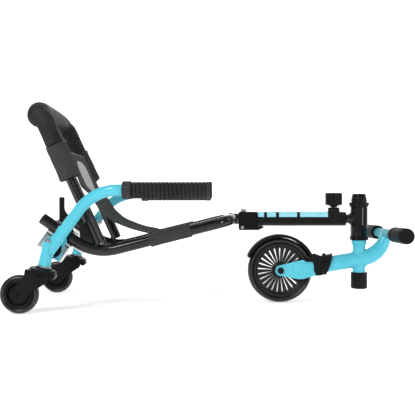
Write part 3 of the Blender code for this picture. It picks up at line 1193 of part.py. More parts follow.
def build_front_wheel(fork, frame):
    """The front wheel in its own frame at the axle, and the axle that stays with the fork."""
    half = FRONT_TYRE_WIDTH / 2
    seat = FRONT_RIM_R + GAP
    tyre = [(seat, half - 0.002), (0.0760, half), (0.0820, half - 0.0012), (0.0862, half - 0.0055),
            (FRONT_WHEEL_R, half - 0.0120)]
    tyre += [(radius, -height) for radius, height in reversed(tyre)]
    turned("front_tyre", tyre, RUBBER_BLACK, frame, steps=SPOKES, ring=True)
    hub_half = FRONT_HUB_WIDTH / 2
    rim_half = FRONT_RIM_WIDTH / 2
    bore = bore_for(FRONT_BEARING_R, SPOKES)
    hub = [(bore, hub_half), (0.0165, hub_half), (0.0175, hub_half - 0.003), (0.0185, WEB_HALF), (0.0640, WEB_HALF - 0.0005),
           (0.0650, rim_half - 0.002), (0.0665, rim_half), (FRONT_RIM_R, rim_half)]
    hub += [(radius, -height) for radius, height in reversed(hub)]
    wheel = turned("front_hub", hub, PLASTIC_BLACK, frame, steps=SPOKES, ring=True)
    slots = bpy.data.meshes.new("wheel_slots")
    work = bmesh.new()
    for index in range(SPOKES):
        angle = pi / 2 + 2 * pi * index / SPOKES
        share = pi / SPOKES
        inner_half = SPOKE_INNER_R * share * SLOT_SHARE_IN
        outer_half = SPOKE_OUTER_R * share * SLOT_SHARE_OUT
        corners = [(SPOKE_INNER_R, -inner_half), (SPOKE_OUTER_R, -outer_half), (SPOKE_OUTER_R, outer_half),
                   (SPOKE_INNER_R, inner_half)]
        rows = []
        for z in (-0.012, 0.012):
            rows.append([
                work.verts.new((x * cos(angle) - y * sin(angle), x * sin(angle) + y * cos(angle), z))
                for x, y in corners
            ])
        for a in range(4):
            b = (a + 1) % 4
            work.faces.new((rows[0][a], rows[0][b], rows[1][b], rows[1][a]))
        work.faces.new(list(reversed(rows[0])))
        work.faces.new(rows[1])
    bmesh.ops.recalc_face_normals(work, faces=work.faces)
    work.to_mesh(slots)
    work.free()
    cut(wheel, add("wheel_slots", slots, parent=frame))
    for side, word in ((-1, "right"), (1, "left")):
        ends = [side * -hub_half, side * -(hub_half - FRONT_BEARING)]
        ring = [(bore_for(FRONT_AXLE_R), max(ends)), (FRONT_BEARING_R, max(ends)), (FRONT_BEARING_R, min(ends)),
                (bore_for(FRONT_AXLE_R), min(ends))]
        turned(f"front_bearing_{word}", ring, STEEL, frame, steps=SMALL_STEPS, ring=True)
    reach = FORK_R + GAP + FORK_PLATE + GAP
    profile = [(0.0, reach + 0.0065), (0.0070, reach + 0.0060), (AXLE_CAP_R, reach + 0.0045), (AXLE_CAP_R, reach),
               (FRONT_AXLE_R, reach)]
    profile += [(radius, -height) for radius, height in reversed(profile)]
    turned("front_axle", profile, PLASTIC_BLACK, fork, (FRONT_AXLE_X, 0.0, FRONT_WHEEL_R), (pi / 2, 0.0, 0.0))



def build_fabric(rail_space):
    """The sling is one piece with its two pockets round the rails. Its back hangs between the padded legs."""
    half = [(x, z, PANEL_HALF) for x, z in SLING_BACK] + [(x, z, SLING_HALF) for x, z in SLING_SEAT]
    for x, width in ((POCKET_REAR_X, SLING_HALF), (POCKET_REAR_X + 0.002, RAIL_Y), (-0.1000, RAIL_Y),
                     (POCKET_FRONT_X, RAIL_Y)):
        place = on_rail(1, x)
        half.append((x, place.z + SLING_LIFT / cos(FRONT_RISE), width))
    points = [(x, side * width, z) for x, z, width in half for side in (-1, 1)]
    faces = [(2 * row, 2 * row + 1, 2 * row + 3, 2 * row + 2) for row in range(len(half) - 1)]
    mesh = bpy.data.meshes.new("seat_sling")
    mesh.from_pydata(points, [], faces)
    sling = add("seat_sling", mesh, SEAT_FABRIC)
    sheet = sling.modifiers.new("sheet", "SOLIDIFY")
    sheet.thickness = FABRIC
    sheet.offset = 0.0
    for side in (-1, 1):
        ends = [on_rail(side, POCKET_REAR_X), on_rail(side, POCKET_FRONT_X)]
        joined(sling, rod("pocket", ends, TUBE_R + GAP + POCKET_WALL))
    boolean(sling, rail_space)
    hoop_space = as_cutter(rod("hoop_space", hoop_path(0.05), TUBE_R + GAP))
    cover_start = leg_height(COVER_FOOT_Z)
    bend = hoop_path(cover_start + GAP)
    waist = [leg_point(side, HOOP_LENGTH - HOOP_BEND_R - COVER_SWELL) for side in (-1, 1)]
    path = [bend[0], waist[0], *bend[1:-1], waist[1], bend[-1]]
    grown = COVER_TOP_R / COVER_R
    scales = [1.0, 1.0, *[grown] * (len(bend) - 2), 1.0, 1.0]
    cover = rod("hoop_cover", path, COVER_R, FOAM, scales=scales)
    boolean(cover, hoop_space)
    for side, word in ((-1, "right"), (1, "left")):
        line = [leg_point(side, leg_height(LEG_SLEEVE_FOOT_Z)), leg_point(side, cover_start)]
        boolean(rod(f"back_sleeve_{word}", line, LEG_SLEEVE_R, SLEEVE_FABRIC), hoop_space)


clear_scene()
KART = new_collection("drift_kart")
CUTTERS = new_collection("cutters")

GLOSS_BLACK = new_material("gloss_black_paint", (0.010, 0.010, 0.012), 0.18)
GLOSS_BLUE = new_material("gloss_blue_paint", (0.10, 0.58, 0.74), 0.22)
MATT_BLACK = new_material("matt_black_steel", (0.018, 0.018, 0.020), 0.45)
GREY_STEEL = new_material("grey_plated_steel", (0.32, 0.33, 0.34), 0.40, 0.6)
ZINC = new_material("zinc_steel", (0.55, 0.56, 0.58), 0.30, 1.0)
STEEL = new_material("bright_steel", (0.50, 0.50, 0.51), 0.25, 1.0)
PLASTIC_BLACK = new_material("black_plastic", (0.020, 0.020, 0.022), 0.40)
RUBBER_BLACK = new_material("black_rubber", (0.022, 0.022, 0.024), 0.70)
POLYURETHANE = new_material("caster_polyurethane", (0.030, 0.030, 0.032), 0.45)
FOAM = new_material("foam_cover", (0.050, 0.050, 0.055), 0.60)
SEAT_FABRIC = new_material("seat_fabric", (0.045, 0.055, 0.060), 0.85)
SLEEVE_FABRIC = new_material("sleeve_fabric", (0.030, 0.030, 0.032), 0.90)

build_main_frame()
RAIL_SPACE = build_seat_hoop()
build_rail_end_caps()
build_pivot_brackets()
build_frame_bolts()
build_pivot_pins()
build_outer_tube()
build_coupler()
build_levers()
build_casters()

FRONT_FRAME = empty("front_frame", (0.0, 0.0, 0.0))
build_spine_front(FRONT_FRAME)
build_knob(empty("knob", (KNOB_X, 0.0, 0.0)))
FORK = empty("fork", (0.0, 0.0, 0.0))
build_fork(FORK)
FRONT_WHEEL = empty("front_wheel", (FRONT_AXLE_X, 0.0, FRONT_WHEEL_R), (pi / 2, 0.0, 0.0))
build_front_wheel(FORK, FRONT_WHEEL)
build_fabric(RAIL_SPACE)
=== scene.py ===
"""Looks of the drift kart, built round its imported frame. Metres, in the frame's own axes.

A list of points inside mm() is in millimetres. A third number in a profile is that corner's own radius.
"""

from math import acos, copysign, cos, pi, radians, sin, sqrt, tan

import bmesh
import bpy
from mathutils import Euler, Matrix, Vector, noise


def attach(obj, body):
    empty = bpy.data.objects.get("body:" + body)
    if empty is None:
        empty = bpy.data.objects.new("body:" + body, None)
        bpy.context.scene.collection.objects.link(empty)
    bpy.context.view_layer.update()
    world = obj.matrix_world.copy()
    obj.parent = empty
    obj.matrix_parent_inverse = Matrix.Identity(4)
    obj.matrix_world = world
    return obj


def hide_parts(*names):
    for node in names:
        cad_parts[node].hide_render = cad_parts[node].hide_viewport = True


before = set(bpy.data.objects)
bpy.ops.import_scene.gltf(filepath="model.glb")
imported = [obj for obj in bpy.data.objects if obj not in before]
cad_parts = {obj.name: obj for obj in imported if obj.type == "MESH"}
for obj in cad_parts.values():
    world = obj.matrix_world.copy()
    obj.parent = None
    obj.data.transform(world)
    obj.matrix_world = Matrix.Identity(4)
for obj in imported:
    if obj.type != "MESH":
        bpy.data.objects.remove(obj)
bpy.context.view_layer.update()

# Camera of the photograph
CAMERA_AT = (-0.002, -1.584, 0.2588)
LENS = 50.0
SENSOR = 36.0

# Main frame
TUBE_R = 0.0143
RAIL_Y = 0.1310
RAIL_LOW = (-0.2877, 0.1402)
RAIL_TAIL = 0.1593
TAIL_RISE = radians(35.0)
FRONT_RISE = radians(14.2)
RAIL_BEND_R = 0.125
CROSS_X = 0.059
CROSS_BEND_R = 0.050
STUB_R = 0.0149
HOOP_LEAN = radians(24.4)
HOOP_FOOT_X = -0.2650
HOOP_TOP_Z = 0.5020
HOOP_BEND_R = 0.045
LEG_BOLT_UP = 0.066
BRACKET_MIDDLE = 0.0291 + 0.0725 / 2
BRACKET_Y = 0.1205
BOLT_OFFSET = 0.026
M8_FLATS = 0.013
M8_R = 0.004

# Levers and casters
PIVOT = (-0.3870, 0.1570)
LEVER_Y = 0.1760
LEVER_PLATE_Y = 0.150
LEVER_SPLAY = 0.0240
LEVER_RISE = radians(54.0)
LEVER_BEND_R = 0.120
LEVER_TOP_Z = 0.3003
LEVER_KNEE_X = -0.2811
GRIP_REAR_X = -0.2060
GRIP_LENGTH = 0.2150
CASTER_TILT = radians(13.3)
SLEEVE_FOOT = (-0.4011, 0.1163)
SLEEVE_LENGTH = 0.0593
SLEEVE_R = 0.0150
CASTER_AXLE = (-0.0424, -0.0808)

# Spine, knob and head
SPINE_HALF = 0.0190
SPINE_CORNER = 0.006
INNER_HALF = SPINE_HALF - 0.0025
INNER_CORNER = 0.004
WALL = 0.002
OUTER_X = (0.1080, 0.3742)
STRIPES = ((0.1352, 0.1515), (0.1597, 0.1841), (0.1923, 0.2412), (0.2493, 0.3252))
KNOB_X = 0.3448
KNOB_R = 0.0228
FLUTES = 14
STEER_X = 0.4141
HEAD_R = 0.0233
SEAM = 0.0003

# Fork and front wheel
FORK_R = 0.0213
FORK_TIP_R = 0.0134
FORK_AT = (0.3486, 0.1066)
FORK_SLOPE = radians(9.5)
FORK_REAR_X = 0.2920
FORK_TIP_SLOPE = radians(80.0)
FORK_BEND_R = 0.080
FORK_TAPER = 3.4
COLUMN_R = 0.0172
PLATE_FRONT_X = 0.3085
PEG_BAR = (0.4885, 0.1875)
PEG_BAR_R = 0.0127
AXLE = (0.1960, 0.0880)
SPOKES = 25
FENDER_R = 0.0976

# Fabric
SLING_BACK = ((-0.3640, 0.4050), (-0.3530, 0.3800), (-0.3430, 0.3570), (-0.3320, 0.3320), (-0.3220, 0.3120))
SLING_SEAT = ((-0.3040, 0.2950), (-0.2870, 0.2700), (-0.2750, 0.2525), (-0.2620, 0.2400), (-0.2450, 0.2265),
              (-0.2240, 0.2170), (-0.1990, 0.2075), (-0.1735, 0.2005), (-0.1560, 0.1968))
SLING_RAIL_X = (-0.1400, -0.1200, -0.0900, -0.0600, -0.0440)
BACK_LOW_Z = 0.292
PATCH_Z = 0.343
PATCH_HALF = (0.058, 0.043)
SLEEVE_LOW_Z = 0.3330
SLEEVE_TOP_Z = 0.4150
SWELL_Z = (0.4790, 0.4940)

SIDES = ((-1, "right"), (1, "left"))
ROUND = 64


def clamp(value):
    return min(1.0, max(0.0, value))


def ease(value):
    """A soft step from 0 to 1."""
    value = clamp(value)
    return value * value * (3 - 2 * value)


def turns(count):
    """Angles evenly spaced round a full turn."""
    return [2 * pi * index / count for index in range(count)]


def mm(*points):
    return [tuple(value / 1000 for value in point) for point in points]


def both_faces(half):
    """A profile and its mirror image, for what is alike on both faces."""
    return [*half, *[(radius, -height, *more) for radius, height, *more in reversed(half)]]


def oblong(half_x, half_y):
    return [(-half_x, -half_y), (half_x, -half_y), (half_x, half_y), (-half_x, half_y)]


# Materials

FINISH = {"metallic": ("Metallic", 0.0), "coat": ("Coat Weight", 0.0), "coat_rough": ("Coat Roughness", 0.05),
          "sheen": ("Sheen Weight", 0.0), "specular": ("Specular IOR Level", 0.5)}


def nodes_of(name):
    """A new material with its node tree, its shader and its object coordinates."""
    material = bpy.data.materials.new(name)
    material.use_nodes = True
    tree = material.node_tree
    place = tree.nodes.new("ShaderNodeTexCoord").outputs["Object"]
    return material, tree, tree.nodes["Principled BSDF"], place


def ramp(tree, value, low, high, start=0.35, stop=0.65):
    """A ramp between two colours, or two grey values, driven by a texture."""
    node = tree.nodes.new("ShaderNodeValToRGB")
    for element, at, colour in zip(node.color_ramp.elements, (start, stop), (low, high)):
        element.position = at
        element.color = (*colour, 1.0) if isinstance(colour, tuple) else (colour, colour, colour, 1.0)
    tree.links.new(value, node.inputs["Fac"])
    return node.outputs["Color"]


def texture(tree, kind, place, scale, bands=None, **inputs):
    node = tree.nodes.new(f"ShaderNodeTex{kind}")
    tree.links.new(place, node.inputs["Vector"])
    node.inputs["Scale"].default_value = scale
    if bands:
        node.bands_direction = bands
    for key, value in inputs.items():
        node.inputs[key.replace("_", " ")].default_value = value
    return node.outputs["Fac"]


def arithmetic(tree, operation, first, second):
    node = tree.nodes.new("ShaderNodeMath")
    node.operation = operation
    for socket, value in zip(node.inputs, (first, second)):
        if isinstance(value, (int, float)):
            socket.default_value = value
        else:
            tree.links.new(value, socket)
    return node.outputs[0]


def finish_shader(tree, shader, colours, rough, value, height, strength, distance, **finish):
    """Joins a colour pair, a roughness pair and a bump height to the shader."""
    tree.links.new(ramp(tree, value, *colours), shader.inputs["Base Color"])
    tree.links.new(ramp(tree, value, *rough), shader.inputs["Roughness"])
    for key, (socket, usual) in FINISH.items():
        shader.inputs[socket].default_value = finish.get(key, usual)
    bump = tree.nodes.new("ShaderNodeBump")
    bump.inputs["Strength"].default_value = strength
    bump.inputs["Distance"].default_value = distance
    tree.links.new(height, bump.inputs["Height"])
    tree.links.new(bump.outputs["Normal"], shader.inputs["Normal"])


def solid(name, colours, rough, grain, strength, blotch=14.0, **finish):
    """Paint, metal, plastic or rubber: soft blotches in colour and roughness, and a fine surface grain."""
    material, tree, shader, place = nodes_of(name)
    broad = texture(tree, "Noise", place, blotch, Detail=4.0, Roughness=0.6)
    fine = texture(tree, "Noise", place, grain, Detail=3.0, Roughness=0.6)
    finish_shader(tree, shader, colours, rough, broad, fine, strength, 0.0004, **finish)
    return material


def woven(name, colours, rough, pitch, strength, mottle=60.0, **finish):
    """Cloth: crossing sets of threads, with soft changes of tone from thread to thread."""
    material, tree, shader, place = nodes_of(name)
    waves = [texture(tree, "Wave", place, 1.0 / pitch, way, Distortion=0.8, Detail=1.0, Detail_Scale=2.0)
             for way in ("X", "Y", "Z")]
    threads = arithmetic(tree, "MAXIMUM", waves[0], arithmetic(tree, "MAXIMUM", waves[1], waves[2]))
    broad = texture(tree, "Noise", place, mottle, Detail=5.0, Roughness=0.7)
    tone = arithmetic(tree, "ADD", arithmetic(tree, "MULTIPLY", threads, 0.35),
                      arithmetic(tree, "MULTIPLY", broad, 0.7))
    finish_shader(tree, shader, colours, rough, tone, threads, strength, 0.0006, **finish)
    return material


def black(low, high):
    """Two dark tones with a trace of blue."""
    return (low, low, low + 0.001), (high, high, high + 0.001)


GLOSS_BLACK = solid("paint_gloss_black", black(0.004, 0.008), (0.16, 0.24), 420.0, 0.05, coat=0.8,
                    specular=0.04)
GLOSS_BLUE = solid("paint_gloss_blue", ((0.082, 0.505, 0.635), (0.098, 0.550, 0.675)), (0.20, 0.28), 420.0,
                   0.05, coat=0.50, specular=0.10)
# A darker, duller copy of the blue paint, used only on the peg bar: painted shade for the bar's shadowed
# place between the fork and the wheel.
PAINTED_SHADE_BLUE = solid("paint_blue_peg_bar_painted_shade", ((0.050, 0.340, 0.420), (0.064, 0.390, 0.470)), (0.30, 0.40), 420.0,
                    0.05, coat=0.05, coat_rough=0.2, specular=0.05)
STRIPE = solid("paint_stripe", ((0.255, 0.64, 0.745), (0.29, 0.675, 0.78)), (0.22, 0.32), 420.0, 0.04,
               coat=0.4)
MATT_BLACK = solid("steel_matt_black", black(0.004, 0.008), (0.26, 0.36), 900.0, 0.10, specular=0.11)
GREY_STEEL = solid("steel_grey_plated", (0.84, 0.91), (0.42, 0.56), 600.0, 0.10)
ZINC = solid("steel_zinc", ((0.30, 0.30, 0.31), (0.46, 0.46, 0.45)), (0.24, 0.40), 500.0, 0.12, 120.0,
             metallic=1.0)
STEEL = solid("steel_bright", ((0.50, 0.50, 0.52), (0.62, 0.62, 0.63)), (0.18, 0.32), 700.0, 0.08, 90.0,
              metallic=1.0)
PLASTIC = solid("plastic_black", black(0.005, 0.010), (0.28, 0.40), 1500.0, 0.15, specular=0.13)
DULL_PLASTIC = solid("plastic_fender", black(0.005, 0.009), (0.46, 0.56), 800.0, 0.08, specular=0.10)
WHEEL = solid("plastic_wheel", black(0.007, 0.012), (0.26, 0.38), 1100.0, 0.10, specular=0.25)
RUBBER = solid("rubber_black", black(0.008, 0.015), (0.50, 0.66), 1300.0, 0.25, specular=0.08)
GRIP = solid("rubber_grip", black(0.008, 0.014), (0.36, 0.46), 1300.0, 0.20, specular=0.26)
CUFF = solid("rubber_grip_cuff", black(0.012, 0.020), (0.38, 0.48), 1300.0, 0.20, specular=0.36)
TYRE = solid("tyre_black", black(0.006, 0.012), (0.27, 0.36), 700.0, 0.10, specular=0.45)
CASTER_TYRE = solid("tyre_caster", black(0.007, 0.013), (0.20, 0.28), 600.0, 0.08, specular=0.45)
FOAM = solid("foam_cover_black", black(0.013, 0.024), (0.46, 0.60), 520.0, 0.30, 30.0, specular=0.12)
PIPING = solid("fabric_piping", ((0.010, 0.010, 0.011), (0.020, 0.020, 0.022)), (0.60, 0.80), 900.0, 0.4,
               sheen=0.2)
SEAT = woven("fabric_seat", ((0.016, 0.021, 0.022), (0.026, 0.032, 0.034)), (0.78, 0.92), 0.0016, 0.35,
             specular=0.2)
SLEEVE = woven("fabric_sleeve", black(0.008, 0.050), (0.74, 0.92), 0.0022, 0.8, 260.0, specular=0.25)
PANEL = woven("fabric_back_panel", ((0.11, 0.11, 0.112), (0.50, 0.50, 0.505)), (0.70, 0.90), 0.0030, 0.5,
              170.0, specular=0.3)
# A near-black material for the inside of small hollows: painted shade.
PAINTED_SHADE_DARK = solid("painted_shade_inside", (0.002, 0.004), (0.80, 0.95), 300.0, 0.1)


# Shapes: each is a list of points and a list of faces, and a piece joins several of them

def moved(shape, matrix):
    points, faces = shape
    return [matrix @ Vector(place) for place in points], faces


def placed(shape, at, turn=(0.0, 0.0, 0.0)):
    return moved(shape, Matrix.Translation(at) @ Euler(turn).to_matrix().to_4x4())


def aim(along):
    """The turn that points a shape's own Z along a vector."""
    return Vector(along).to_track_quat("Z", "Y").to_euler()


def outward(side):
    """The turn that points a shape's own Z away from the kart's middle."""
    return -side * pi / 2, 0.0, 0.0


def rings_joined(rings, closed=False):
    """Skins a list of rings that have the same number of points. Its ends are capped unless it closes."""
    count = len(rings[0])
    points = [place for ring in rings for place in ring]
    faces = []
    for row in range(len(rings) if closed else len(rings) - 1):
        here, there = row * count, (row + 1) % len(rings) * count
        for index in range(count):
            after = (index + 1) % count
            faces.append((here + index, here + after, there + after, there + index))
    if not closed:
        faces.append(tuple(reversed(range(count))))
        faces.append(tuple(range(len(points) - count, len(points))))
    return points, faces


def fine_path(path, step, closed=False):
    """The same path with more points on it. A closed one doesn't repeat its first."""
    made = []
    for here, there in zip(path, [*path[1:], path[0]] if closed else path[1:]):
        parts = max(1, round((there - here).length / step))
        made += [here.lerp(there, part / parts) for part in range(parts)]
    return made if closed else [*made, path[-1]]


def sweep(path, radius, sides=48, scales=None, edge=0.0006):
    """A round bar along a path, without twist, with softened ends."""
    path = [Vector(place) for place in path]
    last = len(path) - 1
    ways = [(path[min(i + 1, last)] - path[max(i - 1, 0)]).normalized() for i in range(len(path))]
    across = Vector((0.0, 1.0, 0.0)) if abs(ways[0].y) < 0.9 else Vector((0.0, 0.0, 1.0))
    rings = []
    for index, (place, way) in enumerate(zip(path, ways)):
        across = (across - way * across.dot(way)).normalized()
        up = way.cross(across)
        size = radius * (scales[index] if scales else 1.0)
        offsets = [(0.0, size)]
        if edge and index == 0:
            offsets = [(0.0, size - edge), (0.3 * edge, size - 0.3 * edge), (edge, size)]
        if edge and index == last:
            offsets = [(-edge, size), (-0.3 * edge, size - 0.3 * edge), (0.0, size - edge)]
        for along, reach in offsets:
            middle = place + way * along
            rings.append([middle + (across * cos(a) + up * sin(a)) * reach for a in turns(sides)])
    return rings_joined(rings)


def softened(profile, radius):
    """A profile with its corners rounded. A point may carry its own radius as a third number."""
    flat = [Vector((*point[:2], 0.0)) for point in profile]
    made = [flat[0]]
    for index in range(1, len(flat) - 1):
        corner = flat[index]
        back, ahead = flat[index - 1] - corner, flat[index + 1] - corner
        size = profile[index][2] if len(profile[index]) > 2 else radius
        size = min(size, 0.45 * back.length, 0.45 * ahead.length)
        if size < 1e-5 or back.length < 1e-6 or ahead.length < 1e-6 or back.angle(ahead) > pi - 0.05:
            made.append(corner)
            continue
        start, end = corner + back.normalized() * size, corner + ahead.normalized() * size
        for share in (0.0, 1 / 3, 2 / 3, 1.0):
            made.append(start * (1 - share) ** 2 + corner * 2 * share * (1 - share) + end * share ** 2)
    return [(place.x, place.y) for place in [*made, flat[-1]]]


def lathe(profile, at=(0.0, 0.0, 0.0), turn=(0.0, 0.0, 0.0), steps=ROUND, soft=0.0006, ring=False):
    """Turns a profile of (radius, height) about its own Z. A ring is open along its axis."""
    rows = softened([*profile, profile[0]] if ring else profile, soft)
    rows = [(max(radius, 0.00002), height) for radius, height in (rows[:-1] if ring else rows)]
    rings = [[Vector((radius * cos(a), radius * sin(a), height)) for a in turns(steps)]
             for radius, height in rows]
    return placed(rings_joined(rings, closed=ring), at, turn)


def on_column(profile, ring=False):
    """A turned shape about the steering axis."""
    return lathe(profile, (STEER_X, 0.0, 0.0), steps=96, ring=ring)


def fillet(corners, radii, step=radians(4.0)):
    """A path whose inner corners are rounded to the given radii."""
    path = [Vector(corners[0])]
    for before, corner, after, radius in zip(corners, corners[1:], corners[2:], radii):
        corner = Vector(corner)
        back = (Vector(before) - corner).normalized()
        ahead = (Vector(after) - corner).normalized()
        opening = acos(max(-1.0, min(1.0, back.dot(ahead))))
        if radius <= 0.0 or opening > pi - 1e-4:
            path.append(corner)
            continue
        centre = corner + (back + ahead).normalized() * (radius / sin(opening / 2))
        start = corner + back * (radius / tan(opening / 2)) - centre
        axis = start.cross(corner - centre).normalized()
        count = max(2, round((pi - opening) / step))
        for index in range(count + 1):
            path.append(centre + Matrix.Rotation((pi - opening) * index / count, 3, axis) @ start)
    path.append(Vector(corners[-1]))
    return path


def rounded(corners, radii, step=radians(9.0)):
    """A closed flat outline with its corners rounded."""
    points = []
    for index, corner in enumerate(corners):
        radius = radii[index] if isinstance(radii, (list, tuple)) else radii
        around = [(*corners[index - 1], 0.0), (*corner, 0.0), (*corners[(index + 1) % len(corners)], 0.0)]
        if radius <= 0.0:
            points.append(tuple(corner))
        else:
            points += [tuple(place[:2]) for place in fillet(around, [radius], step)[1:-1]]
    return points


def circle(x, y, radius):
    return [(x + radius * cos(a), y + radius * sin(a)) for a in turns(40)]


def plate(outlines, thickness, at, turn=(0.0, 0.0, 0.0), edge=0.0006):
    """A flat plate with softened edges. The first outline is its border, and the others are holes."""
    edge = min(edge, 0.45 * thickness)
    curve = bpy.data.curves.new("plate", "CURVE")
    curve.dimensions = "2D"
    curve.fill_mode = "BOTH"
    curve.extrude = thickness / 2 - edge
    curve.bevel_depth = edge
    curve.bevel_resolution = 2
    curve.offset = -edge
    for outline in outlines:
        spline = curve.splines.new("POLY")
        spline.points.add(len(outline) - 1)
        spline.use_cyclic_u = True
        for point, (x, y) in zip(spline.points, outline):
            point.co = (x, y, 0.0, 1.0)
    thing = bpy.data.objects.new("plate", curve)
    bpy.context.scene.collection.objects.link(thing)
    bpy.context.view_layer.update()
    mesh = bpy.data.meshes.new_from_object(thing.evaluated_get(bpy.context.evaluated_depsgraph_get()))
    work = bmesh.new()
    work.from_mesh(mesh)
    bmesh.ops.remove_doubles(work, verts=work.verts, dist=1e-6)
    bmesh.ops.recalc_face_normals(work, faces=work.faces)
    work.verts.index_update()
    points = [vert.co.copy() for vert in work.verts]
    faces = [tuple(vert.index for vert in face.verts) for face in work.faces]
    work.free()
    bpy.data.objects.remove(thing)
    bpy.data.curves.remove(curve)
    bpy.data.meshes.remove(mesh)
    return placed((points, faces), at, turn)


def upright(outlines, thickness, y, edge=0.0006):
    """A plate that stands along the kart, with its outline in X and Z."""
    return plate(outlines, thickness, (0.0, y, 0.0), (pi / 2, 0.0, 0.0), edge)


def brick(low, high, edge=0.0008):
    """A block with softened edges, from one corner to the other."""
    middle = [(a + b) / 2 for a, b in zip(low, high)]
    half_x, half_y, half_z = [(b - a) / 2 for a, b in zip(low, high)]
    return plate([rounded(oblong(half_x, half_y), edge)], 2 * half_z, middle, edge=edge)


def saddle(start, along, radius, centre, axis, big, count=56):
    """The closed line where a round bar from start runs into a larger round tube."""
    start, along, centre, axis = [Vector(value) for value in (start, along, centre, axis)]
    along.normalize()
    axis.normalize()
    side = along.orthogonal().normalized()
    up = along.cross(side)
    line = []
    for angle in turns(count):
        foot = start + (side * cos(angle) + up * sin(angle)) * radius
        apart = foot - centre
        apart -= axis * apart.dot(axis)
        step = along - axis * along.dot(axis)
        a, b, c = step.dot(step), 2 * apart.dot(step), apart.dot(apart) - big * big
        line.append(foot + along * ((-b - sqrt(max(b * b - 4 * a * c, 0.0))) / (2 * a)))
    return line


def bead(line, radius, closed=True, ripple=0.12):
    """A weld bead or a seam along a line, with small ripples."""
    sides = 12
    fine = fine_path([Vector(place) for place in line], 0.0011, closed)
    scales = [1.0 + ripple * sin(i * 2.1) + 0.06 * noise.noise(place * 300.0) for i, place in enumerate(fine)]
    if not closed:
        return sweep(fine, radius, sides, scales, edge=0.0)
    rings = []
    middle = sum(fine, Vector()) / len(fine)
    for index, place in enumerate(fine):
        way = (fine[(index + 1) % len(fine)] - fine[index - 1]).normalized()
        side = place - middle
        side = (side - way * side.dot(way)).normalized()
        up = way.cross(side)
        size = radius * scales[index]
        rings.append([place + (side * cos(a) + up * sin(a)) * size for a in turns(sides)])
    return rings_joined(rings, closed=True)


def hoop(middle, across, reach, radius, count, ripple=0.12, wave=0.0):
    """A seam round a bar. It lies in Y and the direction across, and can rise and fall along the bar."""
    along = across.cross(Vector((0.0, 1.0, 0.0)))
    line = [middle + across * reach * cos(a) + Vector((0.0, reach * sin(a), 0.0)) + along * wave * cos(2 * a)
            for a in turns(count)]
    return bead(line, radius, ripple=ripple)


def hexagon(flats, height, at, along, chamfer=0.0008):
    """A hexagon head or nut with chamfered corners, its foot on the point."""
    rings = []
    for level, share in ((0.0, 0.94), (chamfer * 0.6, 1.0), (height - chamfer, 1.0), (height, 0.90)):
        ring = []
        for angle in turns(36):
            reach = min(flats / 2 / cos(angle % (pi / 3) - pi / 6), flats / sqrt(3) * share)
            ring.append(Vector((reach * cos(angle), reach * sin(angle), level)))
        rings.append(ring)
    top = flats * 0.36
    rings.append([Vector((top * cos(a), top * sin(a), height)) for a in turns(36)])
    return placed(rings_joined(rings), at, aim(along))


def thread(radius, length, at, along):
    """The end of a threaded bolt, as close rings, from the point along the vector."""
    root, pitch = radius * 0.88, 0.00125
    profile = [(0.0, 0.0)]
    level = 0.0
    while level < length - pitch:
        profile += [(root, level), (radius, level + pitch / 2)]
        level += pitch
    profile += [(root, level), (radius * 0.70, length), (0.0, length)]
    return placed(lathe(profile, soft=0.0, steps=32), at, aim(along))


def piece(name, body, replaces, material, shapes, sharp=32.0):
    """Makes one object of several shapes. A shape may come with a material of its own."""
    pairs = [item if isinstance(item[1], bpy.types.Material) else (item, material) for item in shapes]
    mesh = bpy.data.meshes.new(name)
    materials, points, faces, marks = [], [], [], []
    for shape, paint in pairs:
        if paint not in materials:
            materials.append(paint)
        start = len(points)
        points += [tuple(place) for place in shape[0]]
        faces += [tuple(start + index for index in loop) for loop in shape[1]]
        marks += [materials.index(paint)] * len(shape[1])
    mesh.from_pydata(points, [], faces)
    for paint in materials:
        mesh.materials.append(paint)
    mesh.polygons.foreach_set("material_index", marks)
    work = bmesh.new()
    work.from_mesh(mesh)
    bmesh.ops.recalc_face_normals(work, faces=work.faces)
    work.to_mesh(mesh)
    work.free()
    mesh.validate()
    mesh.shade_smooth()
    mesh.set_sharp_from_angle(angle=radians(sharp))
    thing = bpy.data.objects.new(name, mesh)
    bpy.context.scene.collection.objects.link(thing)
    flat = thing.modifiers.new("flat_faces", "WEIGHTED_NORMAL")
    flat.keep_sharp = True
    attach(thing, body)
    if replaces:
        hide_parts(*replaces)
    return thing


# Places on the frame

def direction(slope):
    return Vector((cos(slope), 0.0, sin(slope)))


def on_tail(side, along, above=0.0):
    low = Vector((RAIL_LOW[0], side * RAIL_Y, RAIL_LOW[1]))
    return low + direction(-TAIL_RISE) * (along - RAIL_TAIL) + direction(pi / 2 - TAIL_RISE) * above


def on_rail(side, x):
    return Vector((x, side * RAIL_Y, RAIL_LOW[1] + (x - RAIL_LOW[0]) * tan(FRONT_RISE)))


SPINE_Z = on_rail(1, CROSS_X).z
RAIL_LIFT = RAIL_BEND_R * (1 / cos((TAIL_RISE + FRONT_RISE) / 2) - 1)


def on_leg(side, up):
    return Vector((HOOP_FOOT_X, side * RAIL_Y, RAIL_LOW[1] + RAIL_LIFT)) + direction(pi / 2 + HOOP_LEAN) * up


def leg_height(z):
    return (z - RAIL_LOW[1] - RAIL_LIFT) / cos(HOOP_LEAN)


def frame_path():
    ends = [on_tail(side, 0.0023) for side in (-1, 1)]
    low = [Vector((RAIL_LOW[0], side * RAIL_Y, RAIL_LOW[1])) for side in (-1, 1)]
    corners = [ends[0], low[0], on_rail(-1, CROSS_X), on_rail(1, CROSS_X), low[1], ends[1]]
    return fillet(corners, [RAIL_BEND_R, CROSS_BEND_R, CROSS_BEND_R, RAIL_BEND_R])


def hoop_path(start):
    top = leg_height(HOOP_TOP_Z)
    corners = [on_leg(-1, start), on_leg(-1, top), on_leg(1, top), on_leg(1, start)]
    return fillet(corners, [HOOP_BEND_R, HOOP_BEND_R])


# Main frame

